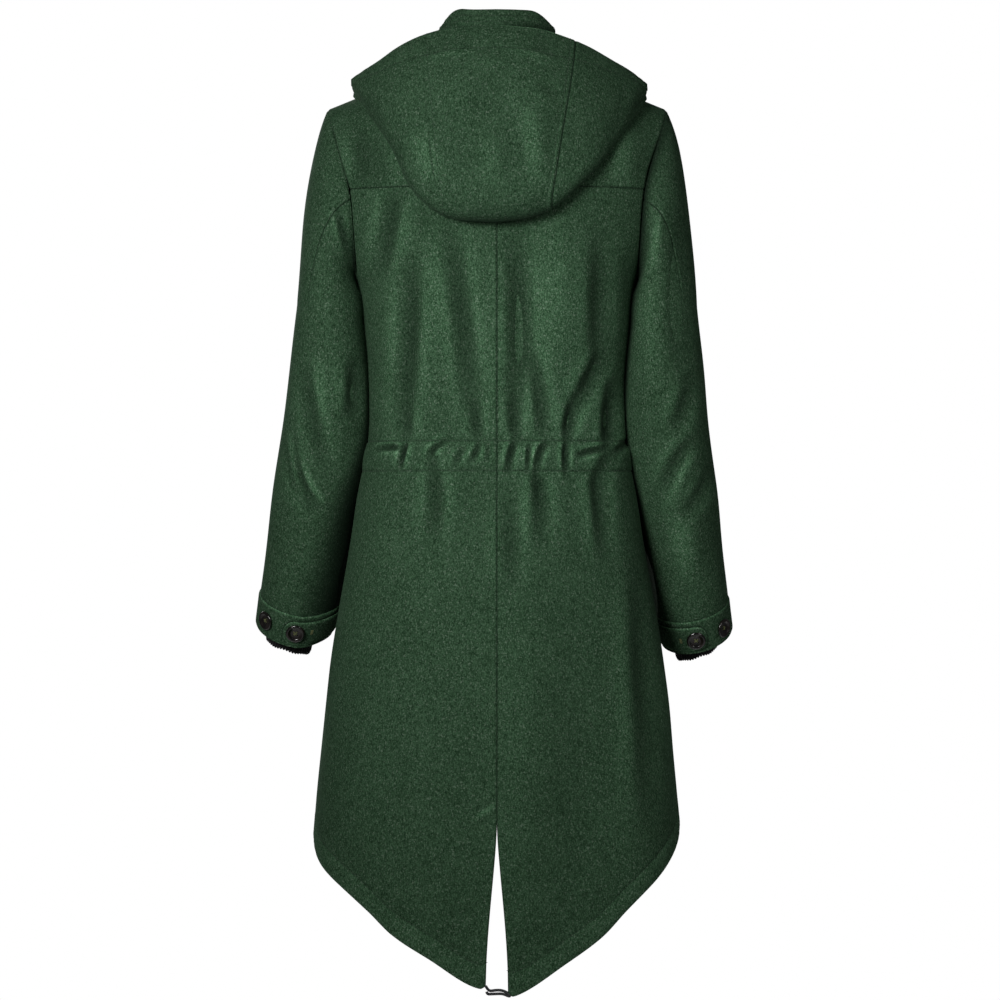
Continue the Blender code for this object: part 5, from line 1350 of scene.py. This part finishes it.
def hood():
    knots = hood_knots()
    rows, columns = knots.shape[:2]

    def surface(u, v):
        """The smoothest surface through the knots: u counts its columns and v its rows."""
        u, v = np.broadcast_arrays(u, v)
        by_row = spline(np.arange(rows), np.eye(rows), v.reshape(-1))
        by_column = spline(np.arange(columns), np.eye(columns), u.reshape(-1))
        found = np.einsum("ni,nj,ijk->nk", by_row, by_column, knots, optimize=True)
        return found.reshape(*u.shape, 3)

    down = np.linspace(0, rows - 1, 180)[:, None]
    right_seam = HOOD_SIDE_KNOTS - 1 - RIGHT_SEAM_OUT * (0.45 + 0.55 * fade(down / 4))
    edges = 0 * down, right_seam, 0 * down + columns - HOOD_SIDE_KNOTS, 0 * down + columns - 1
    for node, first, last, seams in (
        ("hood_side_right", edges[0], edges[1], {"last_column": 0.9}),
        ("hood_center", edges[1], edges[2], {"first_column": 0.9, "last_column": 0.15}),
        ("hood_side_left", edges[2], edges[3], {"first_column": 0.15}),
    ):
        u = first + (last - first) * np.linspace(0, 1, 70)
        v = np.broadcast_to(down, u.shape)
        centre = node == "hood_center"
        side_steps = marks(HOOD_LINE) if centre else RIM
        u, v = relaid(u, v, surface, side_steps, side_steps, 0.0030)
        out = np.abs(u[0] - (columns - 1) / 2) / ((columns - 1) / 2)
        hem = HOOD_HEM - (HOOD_HEM - HOOD_END_HEM) * smooth((out - 0.25) / 0.75)
        rim_steps = np.array([marks(width) for width in hem])
        u, v = (part.T for part in relaid(u.T, v.T, surface, rim_steps, RIM, 0.0034))
        place = surface(u, v)
        panel = Panel(place, even_normals(surface, u, v), away_from_edges(place))
        x, z, rim, aside = place[..., 0], place[..., 2], panel.away["first_row"], panel.away["first_column"]
        lines = [(edge, HOOD_LINE) for edge in seams] if centre else []
        height = edged(panel, ("first_row",)) + sewn(rim, aside, hem[None, :])
        for edge, strength in seams.items():
            sewn_here = [line for line in lines if line[0] == edge]
            height += strength * (edged(panel, (edge,)) + 0.4 * edged(panel, (), sewn_here))
        # painted shade along the seams, in the rim's stitching, and where the hood turns under
        dark = shade_at(panel, seams, lines[:1])  # only the right row of stitching shows as a dark line
        dark = np.max([dark, in_groove(rim - hem[None, :]), under_hood(panel)], axis=0)
        folds, in_folds = (part * smooth(panel.normals[..., 1] * 2) for part in pressed(HOOD_FOLDS, x, z))
        height -= folds * smooth(rim / 0.01)
        # the folds' painted shade and light, and a painted highlight along the rim, less on the left
        dark = with_folds(dark, in_folds + 1.5 * light_rim(panel, "first_row") * smooth((0.03 - x) / 0.05))
        # on the middle panel, a painted highlight on the ridge beside the right seam
        if centre:
            dark -= RIDGE_LIGHT * bell((aside - 0.8 * HOOD_LINE) / 0.0016) * smooth((-0.02 - z) / 0.08)
        outer, normals = cloth_piece(node, panel, height, dark)
        row = int(np.argmin(np.abs(rim_steps[0] - hem[0])))
        RUNS.append((outer[row], normals[row]))
        for edge, line in lines:
            stitch(outer, normals, edge, line, side_steps)


def even_normals(surface, u, v):
    """Normals of the hood, which face out of the pouch on both of its sides."""
    normals = facing(surface, u, v)
    front = np.unravel_index(np.argmin(np.abs(v - 3) + 0.1 * np.abs(u - u.mean())), v.shape)
    return normals * np.sign(normals[front][1])


def drawcord():
    """The elastic as a tube on a smooth line through its own points."""
    knots = np.array(CORD)
    t = np.linspace(0, len(knots) - 1, 65)
    line = spline(np.arange(len(knots)), knots, t)
    data = bpy.data.curves.new("elastic_hem_drawcord", "CURVE")
    data.dimensions = "3D"
    data.bevel_depth = CORD_RADIUS
    data.bevel_resolution = 5
    data.use_fill_caps = True
    path = data.splines.new("POLY")
    path.points.add(len(line) - 1)
    for point, (x, z) in zip(path.points, line):
        point.co = (x, CORD_Y, z, 1.0)
    made = keep("elastic_hem_drawcord", data, ELASTIC, ("hem_drawcord",))


class Shade:
    """A shader value that takes part in sums: each operator adds its Math node."""

    def __init__(self, tree, socket):
        self.tree, self.socket = tree, socket

    def node(self, kind, settings=None, out=0, **inputs):
        """Adds a node. Inputs are values or shades by name, with _ for a space, or by number as in _0."""
        made = self.tree.nodes.new(kind)
        for name, value in (settings or {}).items():
            setattr(made, name, value)
        for name, value in inputs.items():
            key = int(name[1:]) if name[1:].isdigit() else name.replace("_", " ")
            if isinstance(value, Shade):
                self.tree.links.new(value.socket, made.inputs[key])
            else:
                made.inputs[key].default_value = value
        return Shade(self.tree, made.outputs[out])

    def math(self, operation, first, second=0.0):
        return self.node("ShaderNodeMath", {"operation": operation}, _0=first, _1=second)

    def __add__(self, other):
        return self.math("ADD", self, other)

    __radd__ = __add__

    def __mul__(self, other):
        return self.math("MULTIPLY", self, other)

    __rmul__ = __mul__

    def __sub__(self, other):
        return self.math("SUBTRACT", self, other)

    def __rsub__(self, other):
        return self.math("SUBTRACT", other, self)

    def between(self, low, high):
        """0 at low and below, 1 at high and above."""
        return self.node("ShaderNodeMapRange", {"interpolation_type": "SMOOTHSTEP"}, Value=self,
                         From_Min=low, From_Max=high)

    def mix(self, first, second):
        """A colour from first to second as this value goes from 0 to 1."""
        return self.node("ShaderNodeMix", {"data_type": "RGBA"}, out=2, _0=self, _6=first, _7=second)

    def noise(self, scale, detail=2.0, roughness=0.5, stretch=(1.0, 1.0, 1.0)):
        place = self.node("ShaderNodeMapping", _0=self, _3=stretch)
        return self.node("ShaderNodeTexNoise", Vector=place, Scale=scale, Detail=detail, Roughness=roughness)


def blank_material(name, **constants):
    """A material with its Principled shader's own sockets set, and where to start its nodes from."""
    made = bpy.data.materials.new(name)
    made.use_nodes = True
    shader = made.node_tree.nodes["Principled BSDF"]
    for socket, value in constants.items():
        shader.inputs[socket.replace("_", " ")].default_value = value
    place = made.node_tree.nodes.new("ShaderNodeTexCoord").outputs["Object"]
    return made, shader, Shade(made.node_tree, place)


def attach(shader, socket, shade):
    shade.tree.links.new(shade.socket, shader.inputs[socket])


def colour(red, green, blue):
    return (red, green, blue, 1.0)


def wool():
    made, shader, place = blank_material("wool", Sheen_Weight=0.04, Sheen_Roughness=0.45,
                                         Sheen_Tint=colour(0.40, 0.80, 0.48), Specular_IOR_Level=0.10)
    fibre = place.noise(800, 2.0, 0.6)
    upright = place.noise(700, 1.5, 0.6, (1.0, 1.0, 0.5))
    slant = place.noise(680, 1.0, 0.5, (0.6, 0.8, 1.0))
    clump = place.noise(170, 2.0, 0.5)
    broad = place.noise(20, 2.0, 0.5)
    tone = (fibre - 0.5) + (upright - 0.5) * 0.8 + (clump - 0.5) * 0.25 + (broad - 0.5) * 0.12
    tone = (tone * 1.4 + 0.46).between(0.0, 1.0)
    base = tone.mix(colour(0.0070, 0.0235, 0.0092), colour(0.056, 0.118, 0.063))
    fleck = (slant * 0.6 + upright * 0.4).between(0.54, 0.70)
    base = (fleck * 0.52).mix(base, colour(0.160, 0.215, 0.160))
    # painted light scales the colour up; painted shade mixes it towards a near black
    # the shade attribute, named seam here, holds all of the cloth's painted shade and painted light, not only
    # at seams
    seam = place.node("ShaderNodeAttribute", {"attribute_name": "shade"}, out=2)
    light = seam.math("MAXIMUM", 0.0 - seam, 0.0)
    base = place.node("ShaderNodeVectorMath", {"operation": "SCALE"}, _0=base, Scale=1.0 + light * LIGHTEN)
    base = (seam * DARKEN).mix(base, colour(0.0025, 0.0065, 0.0036))
    attach(shader, "Base Color", base)
    attach(shader, "Roughness", 0.98 - tone * 0.10)
    nap = fibre * 0.6 + upright * 0.6 + clump * 0.3
    attach(shader, "Normal", place.node("ShaderNodeBump", Strength=0.25, Distance=0.0007, Height=nap))
    return made


def thread(name, low, high):
    made, shader, place = blank_material(name, Sheen_Weight=0.08, Specular_IOR_Level=0.25)
    tone = place.noise(1600, 2.0, 0.6).between(0.35, 0.65)
    attach(shader, "Base Color", tone.mix(low, high))
    attach(shader, "Roughness", 0.85 - tone * 0.15)
    return made


def knit():
    made, shader, place = blank_material("rib_knit", Sheen_Weight=0.06, Specular_IOR_Level=0.2)
    tone = place.noise(1500, 2.0, 0.6).between(0.3, 0.7)
    # painted shade in the rib valleys, mixed towards near black
    valley_shade = place.node("ShaderNodeAttribute", {"attribute_name": "shade"}, out=2)
    base = tone.mix(colour(0.005, 0.005, 0.006), colour(0.024, 0.023, 0.026))
    attach(shader, "Base Color", (valley_shade * 0.7).mix(base, colour(0.0012, 0.0012, 0.0014)))
    attach(shader, "Roughness", 0.95 - tone * 0.08)
    attach(shader, "Normal", place.node("ShaderNodeBump", Strength=0.5, Distance=0.0005, Height=tone))
    return made


def horn():
    made, shader, place = blank_material("horn_button", Specular_IOR_Level=0.55)
    streak = place.noise(160, 4.0, 0.6, (1.0, 1.0, 0.35)).between(0.35, 0.72)
    attach(shader, "Base Color", streak.mix(colour(0.0028, 0.0025, 0.0025), colour(0.013, 0.0085, 0.0070)))
    attach(shader, "Roughness", 0.17 + streak * 0.10)
    attach(shader, "Coat Weight", 0.60 - streak * 0.1)
    return made


def elastic():
    made, shader, place = blank_material("elastic_cord", Sheen_Weight=0.1, Specular_IOR_Level=0.4)
    weave = place.noise(2200, 1.0, 0.5, (1.0, 1.0, 0.5)).between(0.35, 0.65)
    attach(shader, "Base Color", weave.mix(colour(0.010, 0.011, 0.012), colour(0.060, 0.064, 0.067)))
    attach(shader, "Roughness", 0.62 - weave * 0.14)
    attach(shader, "Normal", place.node("ShaderNodeBump", Strength=0.6, Distance=0.0004, Height=weave))
    return made


def sewing_tree():
    """Stitches laid along lines: each is a small rounded thread, turned to its line and to the cloth."""
    tree = bpy.data.node_groups.new("sewing", "GeometryNodeTree")
    face = tree.interface
    face.new_socket("Lines", in_out="INPUT", socket_type="NodeSocketGeometry")
    for name in ("Pitch", "Length", "Thread"):
        face.new_socket(name, in_out="INPUT", socket_type="NodeSocketFloat")
    face.new_socket("Colour", in_out="INPUT", socket_type="NodeSocketMaterial")
    face.new_socket("Sewing", in_out="OUTPUT", socket_type="NodeSocketGeometry")
    new = tree.nodes.new
    given, result = new("NodeGroupInput"), new("NodeGroupOutput")
    curve, dots = new("GeometryNodeMeshToCurve"), new("GeometryNodeCurveToPoints")
    dots.mode = "LENGTH"
    up = new("GeometryNodeInputNamedAttribute")
    up.data_type = "FLOAT_VECTOR"
    up.inputs["Name"].default_value = "up"
    turn = new("FunctionNodeAxesToRotation")
    turn.primary_axis, turn.secondary_axis = "X", "Z"
    bead, sized = new("GeometryNodeMeshUVSphere"), new("GeometryNodeTransform")
    bead.inputs["Segments"].default_value, bead.inputs["Rings"].default_value = 6, 5
    bead.inputs["Radius"].default_value = 0.5
    size, placed = new("ShaderNodeCombineXYZ"), new("GeometryNodeInstanceOnPoints")
    real, dyed = new("GeometryNodeRealizeInstances"), new("GeometryNodeSetMaterial")
    for source, out, target, into in (
        (given, "Lines", curve, "Mesh"),
        (curve, "Curve", dots, "Curve"),
        (given, "Pitch", dots, "Length"),
        (dots, "Tangent", turn, "Primary Axis"),
        (up, "Attribute", turn, "Secondary Axis"),
        (given, "Length", size, "X"),
        (given, "Thread", size, "Y"),
        (given, "Thread", size, "Z"),
        (bead, "Mesh", sized, "Geometry"),
        (size, "Vector", sized, "Scale"),
        (dots, "Points", placed, "Points"),
        (sized, "Geometry", placed, "Instance"),
        (turn, "Rotation", placed, "Rotation"),
        (placed, "Instances", real, "Geometry"),
        (real, "Geometry", dyed, "Geometry"),
        (given, "Colour", dyed, "Material"),
        (dyed, "Geometry", result, "Sewing"),
    ):
        tree.links.new(source.outputs[out], target.inputs[into])
    return tree


STITCH_PITCH, STITCH_LENGTH, STITCH_THREAD = 0.0034, 0.0027, 0.00075


def sewing():
    """All the rows of stitching, as one piece."""
    place, up, edges = [], [], []
    for line, normals in RUNS:
        start = len(place)
        place += line.tolist()
        up += normals.tolist()
        edges += [(start + k, start + k + 1) for k in range(len(line) - 1)]
    lines = bpy.data.meshes.new("stitch_lines")
    lines.from_pydata(place, edges, [])
    upwards = lines.attributes.new("up", "FLOAT_VECTOR", "POINT").data
    upwards.foreach_set("vector", np.array(up, np.float32).reshape(-1))
    guide = bpy.data.objects.new("stitch_lines", lines)
    bpy.context.scene.collection.objects.link(guide)
    tree = sewing_tree()
    laid_on = guide.modifiers.new("sewing", "NODES")
    laid_on.node_group = tree
    given = {"Pitch": STITCH_PITCH, "Length": STITCH_LENGTH, "Thread": STITCH_THREAD, "Colour": THREAD}
    for socket in tree.interface.items_tree:
        if socket.in_out == "INPUT" and socket.name in given:
            laid_on[socket.identifier] = given[socket.name]
    bpy.context.view_layer.update()
    mesh = bpy.data.meshes.new_from_object(guide.evaluated_get(bpy.context.evaluated_depsgraph_get()))
    bpy.data.objects.remove(guide)
    mesh.name = "sewing"
    mesh.shade_smooth()
    keep("sewing", mesh, THREAD)


CAMERA_PLACE, CAMERA_LENS = (-0.00345, 4.5, -0.4968), 140.87
FLOOR_Z, FLOOR_RADIUS = -1.30, 6.0


def camera():
    data = bpy.data.cameras.new("camera")
    data.lens, data.sensor_width, data.clip_end = CAMERA_LENS, 36.0, 60.0
    made = bpy.data.objects.new("camera", data)
    made.location = CAMERA_PLACE
    made.rotation_euler = (math.radians(90), 0, math.radians(180))
    bpy.context.scene.collection.objects.link(made)
    bpy.context.scene.camera = made


def lamp(name, place, target, size, power, spread=180):
    data = bpy.data.lights.new(name, "AREA")
    data.shape, data.size, data.energy, data.spread = "DISK", size, power, math.radians(spread)
    made = bpy.data.objects.new(name, data)
    made.location = place
    made.rotation_euler = (Vector(target) - Vector(place)).to_track_quat("-Z", "Y").to_euler()
    bpy.context.scene.collection.objects.link(made)


def mixed(tree, factor, first, second, end):
    """Mixes two shaders by a factor and leads them to a tree's output."""
    both = tree.nodes.new("ShaderNodeMixShader")
    for k, socket in enumerate((factor, first, second)):
        tree.links.new(socket, both.inputs[k])
    tree.links.new(both.outputs[0], tree.nodes[end].inputs["Surface"])


def studio():
    """A white room: soft light from the upper left of the camera, and a pale floor that fades out."""
    scene = bpy.context.scene
    scene.view_settings.view_transform = "Standard"
    world = bpy.data.worlds.new("studio")
    scene.world = world
    world.use_nodes = True
    tree = world.node_tree
    plain = tree.nodes["Background"]
    seen = tree.nodes.new("ShaderNodeBackground")
    plain.inputs["Color"].default_value = seen.inputs["Color"].default_value = colour(1, 1, 1)
    plain.inputs["Strength"].default_value, seen.inputs["Strength"].default_value = 0.05, 1.0
    ray = tree.nodes.new("ShaderNodeLightPath")
    mixed(tree, ray.outputs["Is Camera Ray"], plain.outputs[0], seen.outputs[0], "World Output")
    lamp("key", (0.80, 1.90, 0.05), (0.0, 0.1, -0.30), 0.8, 4.4, 60)
    lamp("fill", (-1.6, 2.0, 0.1), (0.0, 0.0, -0.4), 1.2, 10)
    lamp("front", (0.6, -2.6, 0.8), (0.0, 0.0, -0.4), 1.8, 40)
    floor_mesh = turned("floor", [(0.0, 0.0), (FLOOR_RADIUS, 0.0), (FLOOR_RADIUS, -0.002), (0.0, -0.002)], 64)
    floor = bpy.data.objects.new("floor", floor_mesh)
    floor.location = (0.0, 0.0, FLOOR_Z)
    scene.collection.objects.link(floor)
    pale, shader, place = blank_material("floor", Base_Color=colour(0.86, 0.86, 0.86), Roughness=0.9)
    far = place.node("ShaderNodeVectorMath", {"operation": "LENGTH"}, out=1, _0=place).between(0.5, 1.6)
    clear = pale.node_tree.nodes.new("ShaderNodeBsdfTransparent")
    mixed(pale.node_tree, far.socket, shader.outputs[0], clear.outputs[0], "Material Output")
    floor_mesh.materials.append(pale)


camera()
ELASTIC = elastic()
drawcord()
studio()
WOOL, KNIT, HORN = wool(), knit(), horn()
THREAD = thread("thread", colour(0.016, 0.036, 0.019), colour(0.038, 0.076, 0.042))
OLIVE = thread("olive_thread", colour(0.070, 0.082, 0.026), colour(0.165, 0.180, 0.080))
back_yoke()
front_fly()
stand_collar()
hood()
for side in HAND:
    back_panel(side)
    front_panel(side)
    sleeve_panel("upper", side)
    sleeve_panel("under", side)
    cuff_band(side)
    cuff_tab(side)
    rib_cuff(side)
    button("tab", TAB_BUTTON_TURN, side, 3 * SEAM + 2 * STRIP)
    button("spare", SPARE_BUTTON_TURN, side, 2 * SEAM + STRIP)
    bar_tack(side)
sewing()
